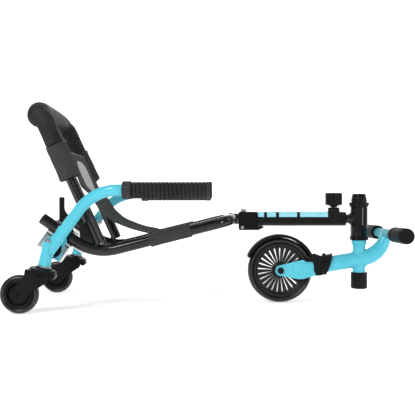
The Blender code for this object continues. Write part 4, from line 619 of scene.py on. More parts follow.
def gusset_shapes(side):
    """The plate behind a leg of the hoop, and the weld along its foot."""
    foot, top, end = on_leg(side, 0.0), on_leg(side, 0.074), on_tail(side, 0.0)
    rear_x = top.x - TUBE_R / cos(HOOP_LEAN) - 0.0125
    rear_z = end.z - tan(TAIL_RISE) * (rear_x - end.x)
    corners = [(foot.x, foot.z), (top.x, top.z), (rear_x, top.z), (rear_x, rear_z)]
    line = [on_tail(side, along, TUBE_R - 0.0008) for along in (0.106, 0.125, 0.142)]
    offsets = [Vector((0.0, y, 0.0)) for y in (0.0022, -0.0022)]
    welds = [bead([place + offset for place in line], 0.0016, closed=False) for offset in offsets]
    return [upright([rounded(corners, [0.0, 0.0, 0.010, 0.0])], 0.004, side * RAIL_Y), *welds]


def lug_shapes(side):
    """The upright lug on the inner side of a rail's tail."""
    front_x, rear_x, flare_r, top_z, chamfer = -0.3662, -0.3794, 0.025, 0.2855, 0.002
    flare = [(front_x + flare_r * (1 - cos(radians(a))), top_z - flare_r - flare_r * sin(radians(a)))
             for a in range(0, 60, 6)]
    end = on_tail(side, 0.0)
    foot = [(x, end.z - 0.0023 - tan(TAIL_RISE) * (x - end.x)) for x in (rear_x, rear_x + 0.046)]
    outline = [*foot, *reversed(flare), (front_x, top_z - chamfer), (front_x - chamfer, top_z),
               (rear_x + chamfer, top_z), (rear_x, top_z - chamfer)]
    weld = [on_tail(side, along, 0.0045) for along in (0.052, 0.075, 0.098)]
    for place in weld:
        place.y = side * (RAIL_Y - TUBE_R - 0.0002)
    lug = upright([outline], 0.005, side * (RAIL_Y - TUBE_R - 0.0007), 0.0008)
    return [lug, bead(weld, 0.0016, closed=False)]


def build_main_frame():
    shapes = [sweep(frame_path(), TUBE_R)]
    for side, word in SIDES:
        shapes += lug_shapes(side)
        weld = saddle(on_leg(side, 0.05), -direction(pi / 2 + HOOP_LEAN), TUBE_R + 0.0004, on_leg(side, 0.0),
                      direction(0.0).lerp(direction(-TAIL_RISE), 0.25), TUBE_R)
        shapes.append(bead(weld, 0.0014))
    shapes += gusset_shapes(-1)
    shapes.append(sweep([(CROSS_X + 0.0042, 0.0, SPINE_Z), (OUTER_X[0] - SEAM, 0.0, SPINE_Z)], STUB_R))
    weld = saddle((0.1, 0.0, SPINE_Z), (-1, 0, 0), STUB_R, (CROSS_X, 0.0, SPINE_Z), (0, 1, 0), TUBE_R)
    shapes.append(bead(weld, 0.0022))
    piece("main_frame_tubes", "rear_frame", ["main_frame"], GLOSS_BLACK, shapes)
    piece("seat_hoop_tube", "rear_frame", ["seat_hoop"], GLOSS_BLACK,
          [sweep(hoop_path(0.0165), TUBE_R)])
    cap = mm((0, 1.2), (6, 1), (13.3, 0.2, 1), (14.3, -1), (14.3, -2), (11.9, -2), (11.9, -18), (0, -18))
    for side, word in SIDES:
        piece(f"rail_end_cap_{word}", "rear_frame", [f"rail_cap_{word}"], PLASTIC,
              [lathe(cap, on_tail(side, 0.0), aim(-direction(-TAIL_RISE)))])


def build_brackets():
    """The grey channel under each rail's tail, with small pressed ribs along its rear flange."""
    half, web, sheet, flange, depth = 0.03625, 0.00125, 0.0025, 0.0255, 0.0490
    channel = [(-half, -web), (half, -web), (half, flange), (half - sheet, flange), (half - sheet, web),
               (-half + sheet, web), (-half + sheet, flange), (-half, flange)]
    radii = [0.0016, 0.0016, 0.0008, 0.0008, 0.0012, 0.0012, 0.0008, 0.0008]
    turn = (0.0, TAIL_RISE, 0.0)
    for side, word in SIDES:
        middle = on_tail(side, BRACKET_MIDDLE, -(TUBE_R + SEAM + depth / 2))
        middle.y = side * BRACKET_Y
        seat = on_tail(side, BRACKET_MIDDLE, -TUBE_R - SEAM - sheet / 2)
        shapes = [plate([rounded([(x, side * y) for x, y in channel], radii)], depth, middle, turn, 0.0005),
                  plate([rounded(oblong(half, 0.015), 0.003)], sheet, seat, turn, 0.0004)]
        for index in range(13):
            rib = on_tail(side, BRACKET_MIDDLE - half - 0.0002, -TUBE_R - 0.004 - 0.0035 * index)
            ends = [(rib.x, side * (BRACKET_Y + y), rib.z) for y in (0.0030, 0.0235)]
            shapes.append((sweep(ends, 0.0007, 10), STEEL))
        piece(f"pivot_bracket_sheet_{word}", "rear_frame", [f"pivot_bracket_{word}"],
              GREY_STEEL, shapes)


def build_frame_bolts():
    down = -direction(pi / 2 - TAIL_RISE)
    grip = 2 * TUBE_R + 0.0034
    places = [(side, BRACKET_MIDDLE + offset) for side in (-1, 1) for offset in (-BOLT_OFFSET, BOLT_OFFSET)]
    for number, (side, along) in enumerate(places, 1):
        top = on_tail(side, along, TUBE_R + 0.0002)
        foot = top + down * grip
        piece(f"rail_bolt_zinc_{number}", "rear_frame", [f"rail_bolt_{number}"], ZINC,
              [hexagon(M8_FLATS, 0.0053, top, -down), hexagon(M8_FLATS, 0.0065, foot, down),
               thread(M8_R, 0.0080, foot, down), sweep([top, foot + down * 0.001], M8_R, 24)])
    ahead = direction(HOOP_LEAN)
    dome = mm((0, 5.2), (2.2, 4.7, 2), (4, 3, 2), (4.6, 0), (0, -1))
    disc = mm((0, 156.8), (5, 156.8, 0.6), (5.6, 157.8, 0.6), (16.5, 157.8), (17.5, 157, 0.5), (21.5, 157.3),
              (23.4, 155.8, 2), (23.4, 152.3), (6, 152.3), (6, 119), (10, 119), (10, 114), (0, 114))
    for side, word in SIDES:
        front = on_leg(side, LEG_BOLT_UP) + ahead * (TUBE_R + 0.0002)
        piece(f"leg_bolt_zinc_{word}", "rear_frame", [f"leg_bolt_{word}"], ZINC,
              [hexagon(0.010, 0.0080, front, ahead), lathe(dome, front + ahead * 0.0080, aim(ahead), 32),
               sweep([front, front - ahead * TUBE_R], 0.003, 20)])
    for side, word in SIDES:
        piece(f"pivot_disc_{word}", "rear_frame", [f"pivot_pin_{word}"], MATT_BLACK,
              [lathe(disc, (PIVOT[0], 0.0, PIVOT[1]), outward(side), 96)])


# Levers

def lever_path(side):
    leg = (SLEEVE_FOOT[1] + 0.028 - LEVER_TOP_Z) / -sin(LEVER_RISE)
    knee = Vector((LEVER_KNEE_X, 0.0, LEVER_TOP_Z))
    end = Vector((GRIP_REAR_X + GRIP_LENGTH - 0.008, 0.0, LEVER_TOP_Z))
    path = fillet([knee - direction(LEVER_RISE) * leg, knee, end], [LEVER_BEND_R], radians(2.5))
    low, high = path[1].x, path[-2].x
    for place in path:
        place.y = side * (LEVER_Y + LEVER_SPLAY * ease((place.x - low) / (high - low)))
    return path


def build_levers():
    sleeve_axis = Vector((sin(CASTER_TILT), 0.0, cos(CASTER_TILT)))
    bore = 0.0128
    sleeve = [(bore, SLEEVE_LENGTH), (SLEEVE_R, SLEEVE_LENGTH), (SLEEVE_R, 0.0), (bore, 0.0)]
    corners = mm((-352, 172), (-362, 158), (-366.5, 140), (-371, 123.5), (-386, 132.5), (-392, 129),
                 (-396, 117), (-406, 120), (-406, 150), (-402, 179), (-380, 198), (-354, 198))
    radii = [0.004, 0.008, 0.0, 0.002, 0.006, 0.004, 0.002, 0.002, 0.0, 0.010, 0.006, 0.006]
    outline = rounded(corners, radii)
    hub = mm((0, 148), (15, 148), (15, 122.1), (0, 122.1))
    tabs = ((-0.3720, -0.3540, 0.1870, 0.1965), (-0.4050, -0.3930, 0.1185, 0.1300))
    for side, word in SIDES:
        path = lever_path(side)
        foot = Vector((SLEEVE_FOOT[0], side * LEVER_Y, SLEEVE_FOOT[1]))
        weld = saddle(path[1], -direction(LEVER_RISE), TUBE_R + SEAM, foot, sleeve_axis, SLEEVE_R)
        shapes = [sweep(path, TUBE_R), lathe(sleeve, foot, (0.0, CASTER_TILT, 0.0), ring=True, soft=0.0008),
                  upright([outline], 0.004, side * LEVER_PLATE_Y, 0.0008),
                  lathe(hub, (PIVOT[0], 0.0, PIVOT[1]), outward(side)), bead(weld, 0.0022)]
        low_y, high_y = sorted((side * LEVER_PLATE_Y, side * (LEVER_PLATE_Y + 0.022)))
        for low_x, high_x, low_z, high_z in tabs:
            shapes.append(brick((low_x, low_y, low_z), (high_x, high_y, high_z), 0.0012))
        piece(f"lever_tube_{word}", f"lever_{word}", [f"lever_{word}"], GLOSS_BLUE,
              shapes)
        build_grip(side, word)


def build_grip(side, word):
    """A soft grip: smooth collar at the rear, then ribs round a darker core, then a plain end."""
    radius, collar_r, collar, ribs, depth, plain = 0.0204, 0.0216, 0.0220, 18, 0.0014, 0.0150
    start, stop, core = collar + 0.002, GRIP_LENGTH - plain, radius - depth
    pitch = (stop - start) / ribs
    place = (GRIP_REAR_X, side * (LEVER_Y + LEVER_SPLAY), LEVER_TOP_Z), (0.0, pi / 2, 0.0), 96
    body = [(0.0, GRIP_LENGTH), (radius, GRIP_LENGTH, 0.0035), (radius, stop, 0.0010), (core, stop),
            (core, collar), (collar_r - 0.001, collar), (collar_r, collar - 0.002, 0.0015),
            (collar_r, 0.0, 0.0022), (0.0146, 0.0), (0.0146, 0.010), (0.0, 0.010)]
    shapes = [(lathe(body, *place, soft=0.0008), RUBBER)]
    for index in range(ribs):
        low, high = start + (index + 0.14) * pitch, start + (index + 0.86) * pitch
        rib = [(core - 0.0006, high), (core, high), (radius, high - 0.0012, 0.0014),
               (radius, low + 0.0012, 0.0014), (core, low), (core - 0.0006, low)]
        shapes.append((lathe(rib, *place, ring=True), GRIP))
    band_r, cuff_r = radius + 0.0002, collar_r + 0.0003
    band = [(band_r, GRIP_LENGTH - 0.004, 0.001), (band_r, stop + 0.0006, 0.001), (core, stop + 0.0006),
            (core, GRIP_LENGTH - 0.004)]
    cuff = [(cuff_r, collar - 0.0010, 0.0012), (cuff_r, 0.0010, 0.0016), (core, 0.0010),
            (core, collar - 0.0010)]
    shapes += [lathe(band, *place, ring=True), lathe(cuff, *place, ring=True)]
    piece(f"grip_rubber_{word}", "lever_" + word, [f"grip_{word}"], CUFF, shapes)


# Casters, built in their tilted frame and then set at the foot of each lever

def caster_fork_shapes():
    half, cheek, top, crown, nose_low, rear, front = 0.0145, 0.003, -0.016, 0.007, -0.0300, -0.0390, 0.0180
    axle_x, axle_z = CASTER_AXLE
    end = [(axle_x + 0.0185 * cos(radians(a)), axle_z + 0.0185 * sin(radians(a)))
           for a in range(-25, -226, -10)]
    outline = [(rear, top - 0.002), (rear + 0.002, top), (front, top), *mm((18, -27), (12, -42), (-4, -58.5)),
               *end, *mm((-59, -69.5), (-44, -49), (-38.2, -32))]
    corners = [(0.0120, top), (0.0120, nose_low + 0.010), (0.0280, nose_low), (0.0340, nose_low + 0.008),
               (0.0340, top)]
    nose = rounded(corners, [0.0, 0.0, 0.003, 0.004, 0.002])
    race = mm((0, -3.6), (19.5, -3.6), (21, -5, 1), (22.5, -6.2), (28.5, -7.4, 1), (33, -9.8, 1.6),
              (33, -12.2, 1.2), (30.5, -13.2), (30.5, -14.5), (32.5, -15), (32.5, -17, 1), (0, -17.5))
    dish = mm((0, -23.1), (18, -23.1), (20.5, -26.2, 2), (0, -26.6))
    cheeks = [upright([outline, circle(axle_x, axle_z, 0.0050)], cheek, side * (half + cheek / 2), 0.0010)
              for side in (-1, 1)]
    return [*cheeks, brick((rear, -half - cheek, top - crown), (front, half + cheek, top), 0.0016),
            upright([nose], 2 * half - 0.001, 0.0, 0.0014), lathe(race, steps=96, soft=0.0007),
            lathe(dish, steps=72)]


def build_caster(side, word):
    at = Matrix.Translation((SLEEVE_FOOT[0], side * LEVER_Y, SLEEVE_FOOT[1]))
    at = at @ Matrix.Rotation(CASTER_TILT, 4, "Y")
    body, wheel = f"caster_{word}", f"caster_wheel_{word}"
    piece(f"caster_fork_steel_{word}", body, [f"caster_fork_{word}"], MATT_BLACK,
          [moved(shape, at) for shape in caster_fork_shapes()])
    foot, cap, shank, thick = -SEAM, SLEEVE_LENGTH + SEAM, 0.008, 0.0026
    stem = [(0.0, cap + 0.005), (0.0098, cap + 0.005, 0.002), (0.0125, cap + 0.0032, 0.001), (0.0125, cap),
            (shank, cap), (shank, foot), (0.0165, foot), (0.0165, foot - thick), (shank, foot - thick),
            *mm((8, -23.3), (11, -23.3), (11, -28.3), (0, -28.3))]
    piece(f"caster_stem_zinc_{word}", body, [f"caster_stem_{word}"], ZINC,
          [moved(lathe(stem, soft=0.0004), at)])
    axle_x, axle_z = CASTER_AXLE
    dome = mm((0, -2), (2.8, -2, 0.2), (3, 3.6, 0.6), (5.2, 3.4, 2), (6.8, 1.2, 2), (6.8, 0), (0, 0))
    axle = [sweep([(axle_x, -0.018, axle_z), (axle_x, 0.018, axle_z)], 0.0045, 24)]
    axle += [lathe(dome, (axle_x, end * 0.0178, axle_z), outward(end), 40, 0.0004) for end in (-1, 1)]
    piece(f"caster_axle_zinc_{word}", body, [f"caster_axle_{word}"], MATT_BLACK,
          [moved(shape, at) for shape in axle])
    hub_at = at @ Matrix.Translation((axle_x, 0.0, axle_z)) @ Matrix.Rotation(pi / 2, 4, "X")
    tyre = both_faces(mm((35.3, 9.4), (36.6, 10, 1), (38.2, 11.6, 1), (40, 12, 1), (42.4, 11.2, 2),
                         (44.8, 9.2, 2), (46.6, 6.2, 2), (47.5, 2.8, 2)))
    piece(f"caster_tyre_pu_{word}", wheel, [f"caster_tyre_{word}"], CASTER_TYRE,
          [moved(lathe(tyre, ring=True, steps=128), hub_at)])
    hub = both_faces(mm((4.8, 14.2), (10, 14.2), (11.2, 12.8, 1), (11.6, 7.5, 1), (23, 6.3, 1),
                        (26.2, 8.5, 1.5), (28.5, 11.7, 1.2), (30, 11.7, 0.6), (30.8, 10.7, 0.6),
                        (32.2, 10.7, 0.6), (33, 11.9, 0.6), (35, 11.3)))
    shapes = [lathe(hub, ring=True, steps=128)]
    for angle in [pi * index / 3 + 0.3 for index in range(6)]:
        for level in (-0.0067, 0.0067):
            ends = [(reach * cos(angle), reach * sin(angle), level) for reach in (0.0112, 0.0245)]
            shapes.append(sweep(ends, 0.0011, 10))
    piece(f"caster_hub_plastic_{word}", wheel, [f"caster_hub_{word}"], PLASTIC,
          [moved(shape, hub_at) for shape in shapes])


# Spine

def square_tube(half, corner, rear, front):
    """A square tube whose open ends show its wall."""
    soft, inside, depth = 0.0004, half - WALL, 0.012
    rings = []
    for size, x in ((inside, rear + depth), (inside, rear), (half - soft, rear), (half, rear + soft),
                    (half, front - soft), (half - soft, front), (inside, front), (inside, front - depth)):
        outline = rounded(oblong(size, size), max(corner - (half - size), 0.0008))
        rings.append([Vector((x, y, SPINE_Z + z)) for y, z in outline])
    return rings_joined(rings)


def stripe_shapes():
    """Light stripe segments on both sides of the spine, from mid-height round the upper corner."""
    half = SPINE_HALF + 0.00015
    middle = half - SPINE_CORNER
    line = [(half, 0.0052), (half, middle)]
    line += [(middle + SPINE_CORNER * cos(radians(a)), middle + SPINE_CORNER * sin(radians(a)))
             for a in range(15, 91, 15)]
    line += [(y - 0.0004, z - 0.0002) for y, z in reversed(line)]
    return [rings_joined([[Vector((x, side * y, SPINE_Z + z)) for y, z in line] for x in segment])
            for segment in STRIPES for side in (-1, 1)]


def build_spine():
    stripes = [(shape, STRIPE) for shape in stripe_shapes()]
    piece("outer_tube_painted", "rear_frame", ["outer_tube"], GLOSS_BLACK,
          [square_tube(SPINE_HALF, SPINE_CORNER, *OUTER_X), *stripes])
    foot = SPINE_Z + SPINE_HALF
    collar = [(0.0043, 0.2590), (0.0146, 0.2590), (0.0156, 0.2580, 0.0008), (0.0156, foot + 0.0035),
              (0.0164, foot + 0.0020, 0.001), (0.0164, foot + SEAM), (0.0043, foot + SEAM)]
    weld = hoop(Vector((KNOB_X, 0.0, foot + 0.0006)), direction(0.0), 0.0162, 0.0012, 60)
    piece("knob_collar_steel", "rear_frame", ["knob_collar"], MATT_BLACK,
          [lathe(collar, (KNOB_X, 0.0, 0.0), ring=True), (weld, GLOSS_BLACK)])
    build_coupler()
    start, front = OUTER_X[1] - 0.020, OUTER_X[1]
    neck_r, step = 0.0140, INNER_HALF - 0.0014
    neck = [(0.0, 0.0561), (neck_r, 0.0561), (neck_r, 0.0330, 0.003), (0.0116, 0.0265, 0.004),
            (0.0114, 0.0204, 0.001), (step, 0.0200), (step, 0.0), (0.0, 0.0)]
    head = [(0.0197, 0.2585), (HEAD_R, 0.2585), (HEAD_R, 0.1807), (0.0197, 0.1807)]
    weld = saddle((start, 0.0, SPINE_Z), (1, 0, 0), neck_r, (STEER_X, 0.0, 0.0), (0, 0, 1), HEAD_R)
    square = rounded(oblong(INNER_HALF, INNER_HALF), INNER_CORNER, radians(20))
    seam = [(front + 0.0018, 0.0118 * cos(a), SPINE_Z + 0.0118 * sin(a)) for a in turns(40)]
    piece("front_frame_painted", "front_frame", ["front_frame_tube"], GLOSS_BLACK,
          [square_tube(INNER_HALF, INNER_CORNER, front - 0.22, front),
           lathe(neck, (start, 0.0, SPINE_Z), (0.0, pi / 2, 0.0)), on_column(head, ring=True),
           bead(weld, 0.0026), plate([square], 0.0022, (front + 0.0006, 0.0, SPINE_Z), (pi / 2, 0.0, pi / 2)),
           bead(seam, 0.0016)])
    upper = mm((17.2, 272.5), (26.4, 272.5), (27.4, 271.6, 1), (27.4, 268.2, 1.2), (26.2, 266.8, 0.8),
               (26.2, 265.5, 0.6), (23.8, 260.8, 2), (23, 258.8), (19.4, 258.8), (19.4, 249.8), (17.2, 249.8))
    lower = mm((17.2, 189.4), (19.4, 189.4), (19.4, 180.4), (23, 180.4), (25.4, 177.4, 1.6),
               (25.4, 174.2, 0.8), (24.4, 173.4), (25.4, 172.6), (25.4, 171, 0.8), (24.6, 170.2),
               (17.2, 170.2))
    for word, profile in (("upper", upper), ("lower", lower)):
        piece(f"{word}_cup_steel", "front_frame", [f"{word}_cup"], MATT_BLACK,
              [on_column(profile, ring=True)])


def build_coupler():
    """The pressed cradle between the frame's stub and the spine: two cheeks, a top, a floor and a lip."""
    rear, front, lip, foot, sheet, inside = 0.0844, 0.1347, 0.1575, 0.1975, 0.0035, SPINE_HALF + SEAM
    top, under = SPINE_Z + inside, SPINE_Z - SPINE_HALF - 0.001
    corners = [(rear, foot), (lip - 0.021, foot), (lip, under), (front, under), (front, top), (rear, top)]
    outline = rounded(corners, [0.001, 0.010, 0.002, 0.0, 0.008, 0.002])
    shapes = [upright([outline], sheet, side * (inside + sheet / 2), 0.0010) for side in (-1, 1)]
    shapes.append(brick((rear, -inside - 0.001, foot), (lip - 0.024, inside + 0.001, foot + sheet)))
    shapes.append(brick((rear, -inside - 0.001, top - 0.003), (OUTER_X[0] - SEAM, inside + 0.001, top)))
    screw = mm((0, 1.2), (1.2, 1.2, 0.2), (1.3, 2.2, 0.4), (2.4, 1.9, 1), (3.5, 0), (0, 0))
    shapes += [lathe(screw, (x, side * (inside + sheet), z), outward(side), 32, 0.0003)
               for x, z in mm((127, 237), (129, 227.5)) for side in (-1, 1)]
    piece("coupler_pressed", "rear_frame", ["coupler"], MATT_BLACK, shapes)
    x, high, up = 0.0970, top + 0.0019, (0, 0, 1)
    washer = mm((4.2, 1.6), (8.5, 1.6), (8.5, 0), (4.2, 0))
    piece("coupler_bolt_zinc", "rear_frame", ["coupler_bolt"], ZINC,
          [lathe(washer, (x, 0.0, top + SEAM), aim(up), 40, 0.0003, ring=True),
           hexagon(M8_FLATS, 0.0053, (x, 0.0, high), up),
           sweep([(x, 0.0, high), (x, 0.0, SPINE_Z - 0.016)], M8_R, 24)])
    x, z, reach = 0.0925, 0.2050, inside + sheet + SEAM
    piece("coupler_pin_zinc", "rear_frame", ["coupler_pin"], ZINC,
          [hexagon(0.008, 0.0035, (x, -reach, z), (0, -1, 0), 0.0005),
           hexagon(0.008, 0.004, (x, reach, z), (0, 1, 0), 0.0005),
           sweep([(x, -reach, z), (x, reach + 0.0055, z)], 0.0025, 20)])


def build_knob():
    """A fluted clamp knob with a slightly crowned top and its neck and stud."""
    rings = []
    for level, share in ((0.0, 0.96), (0.0006, 0.99), (0.0016, 1.0), (0.0314, 1.0), (0.0326, 0.97),
                         (0.0332, 0.90), (0.0334, 0.70)):
        ring = []
        for a in turns(14 * FLUTES):
            reach = (KNOB_R - max(0.0, cos(FLUTES * a)) ** 2.2 * 0.0021) * share
            ring.append(Vector((reach * cos(a), reach * sin(a), level)))
        rings.append(ring)
    neck = [*mm((0, 270), (14.6, 270), (14.6, 263.8, 0.3), (9.8, 263.3, 0.3), (9.4, 262.5, 0.3), (9.4, 259.3),
                (4, 259.3)), (0.004, SPINE_Z + 0.0168), (0.0, SPINE_Z + 0.0168)]
    piece("clamp_knob_moulded", "knob", ["clamp_knob"], PLASTIC,
          [placed(rings_joined(rings), (KNOB_X, 0.0, 0.2655)), lathe(neck, (KNOB_X, 0.0, 0.0))])


# Fork

def fork_height(x, above=0.0):
    return FORK_AT[1] + (x - FORK_AT[0]) * tan(FORK_SLOPE) + above / cos(FORK_SLOPE)


def fork_path():
    """The fork's centre line, and the share of its full radius at each point."""
    tip = Vector((PEG_BAR[0], 0.0, PEG_BAR[1]))
    start = Vector((FORK_REAR_X, 0.0, fork_height(FORK_REAR_X)))
    drop = tip.z - FORK_AT[1] - (tip.x - FORK_AT[0]) * tan(FORK_TIP_SLOPE)
    corner_x = FORK_AT[0] + drop / (tan(FORK_SLOPE) - tan(FORK_TIP_SLOPE))
    corner = Vector((corner_x, 0.0, fork_height(corner_x)))
    taper = start + direction(FORK_SLOPE) * ((STEER_X - FORK_REAR_X) / cos(FORK_SLOPE))
    path = [start, taper, *fillet([start, corner, tip], [FORK_BEND_R], radians(3.0))[1:]]
    reach = [(place - taper).length for place in path[2:]]
    scales = [1.0 + (FORK_TIP_R / FORK_R - 1.0) * min(1.0, r / reach[-2]) ** FORK_TAPER for r in reach]
    return path, [1.0, 1.0, *scales]


def build_fork():
    path, scales = fork_path()
    column = mm((0, 290.5), (12.7, 290.5), (12.7, 169.9), (19.6, 169.9), (20.6, 168.9, 1), (20.6, 158.8, 1),
                (17.2, 156, 1), (17.2, 81.4), (11, 81.4), (11, 45), (0, 45))
    shapes = [sweep(path, FORK_R, 64, scales), on_column(column)]
    middle = (STEER_X, 0.0, fork_height(STEER_X))
    for start_z, down in ((0.2, -1), (0.05, 1)):
        line = saddle((STEER_X, 0.0, start_z), (0, 0, down), COLUMN_R + 0.0002, middle,
                      direction(FORK_SLOPE), FORK_R, 72)
        shapes.append(bead(line, 0.0028))
    end, rise = Vector((PEG_BAR[0], 0.0, PEG_BAR[1])), direction(FORK_TIP_SLOPE)
    weld = saddle(end - rise * 0.05, rise, FORK_TIP_R + 0.0002, end, (0, 1, 0), PEG_BAR_R)
    # The peg bar gets the darker copy of the blue paint: painted shade.
    bar = sweep([(PEG_BAR[0], y, PEG_BAR[1]) for y in (-0.156, 0.156)], PEG_BAR_R)
    piece("fork_painted", "fork", ["fork_frame"], GLOSS_BLUE,
          [*shapes, bead(weld, 0.0020), (bar, PAINTED_SHADE_BLUE)])
    build_top_nut()
    peg = mm((0, 90.8), (1.6, 90.8), (2.4, 92.2, 0.6), (3.4, 92.8, 1), (16.5, 93, 2), (19.9, 92.2, 3),
             (19.9, 85, 1), (18.7, 84.2, 0.6), (18.7, 82.2, 0.6), (19.9, 81.2, 1), (19.9, 25.5, 1),
             (18.8, 24.5, 0.6), (18.8, 19, 0.6), (19.9, 18, 1), (19.9, 0, 3), (12.9, 0), (12.9, 10), (0, 10))
    for side, word in SIDES:
        at = (PEG_BAR[0], side * 0.0740, PEG_BAR[1])
        piece(f"peg_rubber_{word}", "fork", [f"peg_{word}"], DULL_PLASTIC,
              [lathe(peg, at, outward(side), 96, 0.0005)])
    bumper = mm((0, 81.1), (20.8, 81.1), (21.8, 80.3, 0.8), (21.8, 40, 2), (20, 37.6, 3), (18.5, 37),
                (18, 37.6), (0, 37.6))
    dimple = mm((0, 0.4), (1.2, 0.2), (2.2, -0.2, 0.4), (3, 0.6, 0.3), (3.4, 0), (0, -1))
    # The two dimples on the bumper are near black inside: painted shade in their hollows.
    dimples = [(lathe(dimple, (STEER_X, side * 0.0216, 0.064), outward(side), 32, 0.0), PAINTED_SHADE_DARK)
               for side in (-1, 1)]
    piece("bumper_rubber", "fork", ["bumper"], RUBBER, [on_column(bumper), *dimples])


def build_top_nut():
    """The moulded nut, with eight teeth round its crown."""
    profile = mm((0, 293), (11.8, 293), (12.6, 296.5, 0.6), (15.8, 296.5), (18.2, 293.5, 1.5),
                 (19.5, 285.5, 1), (21, 283.8, 1), (21, 281.2, 0.6), (20, 280.6), (20, 279.6),
                 (21, 279, 0.6), (21, 273.2, 1), (20.2, 272.8), (0, 272.8))
    rings = []
    for radius, height in softened(profile, 0.0005):
        ring = []
        for angle in turns(160):
            tooth = clamp((cos(8 * angle) - 0.45) / 0.15) if radius > 0.0125 else 0.0
            drop = max(0.0, height - 0.2880) * 0.8 * tooth
            reach = max(radius, 0.00002) - 0.0016 * tooth * (height > 0.2870)
            ring.append(Vector((reach * cos(angle + 0.2), reach * sin(angle + 0.2), height - drop)))
        rings.append(ring)
    piece("top_nut_moulded", "fork", ["top_nut"], PLASTIC,
          [placed(rings_joined(rings), (STEER_X, 0.0, 0.0))])


def plate_outline():
    front = PLATE_FRONT_X
    end = [(AXLE[0] + 0.0143 * cos(radians(a)), AXLE[1] + 0.0143 * sin(radians(a)))
           for a in range(100, 271, 8)]
    low = [*mm((196, 73.7), (241.5, 65.1), (256.7, 65.1), (291.4, 74.6)),
           (front, fork_height(front, 0.002 - FORK_R))]
    high = [(front, fork_height(front, FORK_R - 0.006)), *mm((296, 117), (254, 116.6), (193.5, 102.1))]
    return [*end[:-1], *rounded(low, [0.0, 0.015, 0.015, 0.010, 0.0]),
            *rounded(high, [0.0, 0.006, 0.006, 0.0])[:-1]]


def build_fork_plates():
    outline = plate_outline()
    corners = mm((230.5, 81.5), (244, 77.5), (282, 83), (280, 106), (254, 108), (229, 102))
    emboss = rounded(corners, 0.005)
    for side, word in SIDES:
        cheek = upright([outline, circle(*AXLE, 0.0056)], 0.0035, side * (FORK_R + 0.00205), 0.0011)
        piece(f"fork_plate_painted_{word}", "fork", [f"fork_plate_{word}"], GLOSS_BLUE,
              [cheek, upright([emboss], 0.0028, side * (FORK_R + 0.0034), 0.0012)])
    axle = both_faces(mm((0, 30.6), (3, 30.6, 0.8), (4.2, 31.8, 1), (6.6, 31.6, 2), (8.7, 29.4, 2),
                         (8.7, 25.4), (5, 25.4)))
    piece("front_axle_moulded", "fork", ["front_axle"], PLASTIC,
          [lathe(axle, (AXLE[0], 0.0, AXLE[1]), (pi / 2, 0.0, 0.0))])


def grid_faces(rows, columns, closed=False):
    """The faces between rows of points. The last row can be joined to the first."""
    steps = [(row, (row + 1) % rows) for row in range(rows if closed else rows - 1)]
    return [(a * columns + c, a * columns + c + 1, b * columns + c + 1, b * columns + c)
            for a, b in steps for c in range(columns - 1)]


def collar_shell(outer, inner):
    """The shell round the fork, open below, and the line of its front edge."""
    rear_x = 0.2860
    levels = [(outer, share) for share in (0.0, 0.35, 0.7, 0.93, 1.0)]
    levels += [(inner, share) for share in (1.0, 0.5, 0.0)]
    angles = [radians(a) for a in range(-62, 243, 8)]
    rings = []
    for size, share in levels:
        ring = []
        for a in angles:
            x = rear_x + (0.0420 + 0.0098 * sin(a)) * share
            reach = size + 0.0010 * max(0.0, share - 0.75) / 0.25
            up = reach * sin(a) * (1.0 if sin(a) < 0 else 0.97)
            ring.append(Vector((x, reach * cos(a), fork_height(x, up))))
        rings.append(ring)
    count, total = len(angles), len(rings)
    faces = grid_faces(total, count, closed=True)
    faces.append([level * count for level in range(total)])
    faces.append([level * count + count - 1 for level in reversed(range(total))])
    return ([place for ring in rings for place in ring], faces), rings[4]


def build_collar():
    """The clamp over the fork tube and plates: two cheeks, a shell with a rolled edge, and its bolt."""
    inside, sheet = FORK_R + 0.0041, 0.0035
    corners = mm((257.7, 117.5), (283, 126.8), (290, 129), (297.8, 130.8), (303, 128), (310.5, 126.2),
                 (310.5, 76.2), (293, 74.2), (289.2, 79), (283.4, 111.5), (264, 111.8))
    outline = rounded(corners, [0.002, 0.006, 0.006, 0.004, 0.004, 0.003, 0.003, 0.003, 0.002, 0.005, 0.004])
    outer = inside + 0.0021
    shell, edge = collar_shell(outer, inside + 0.0002)
    top = Vector((0.3180, 0.0, fork_height(0.3180, outer - 0.0008)))
    dome = mm((0, 4.8), (3, 4.7, 2), (5, 3, 2), (5.2, 0), (0, 0))
    piece("fork_collar_pressed", "fork", ["fork_collar"], MATT_BLACK,
          [*[upright([outline], sheet, side * (inside + sheet / 2), 0.0013) for side in (-1, 1)],
           shell, bead(edge, 0.0013, closed=False, ripple=0.0),
           lathe(dome, top, aim(direction(pi / 2 + FORK_SLOPE)), 32, 0.0004)])
    head = mm((0, 1.2), (2, 1.2, 0.2), (2.1, 2.8, 0.4), (3.6, 2.5, 1), (5.2, 0.8, 0.8), (5.2, 0), (0, 0))
    for side, word in SIDES:
        at = (0.2950, side * (inside + sheet), 0.1084)
        piece(f"collar_screw_steel_{word}", "fork", [f"collar_screw_{word}"], MATT_BLACK,
              [lathe(head, at, outward(side), 40, 0.0003)])


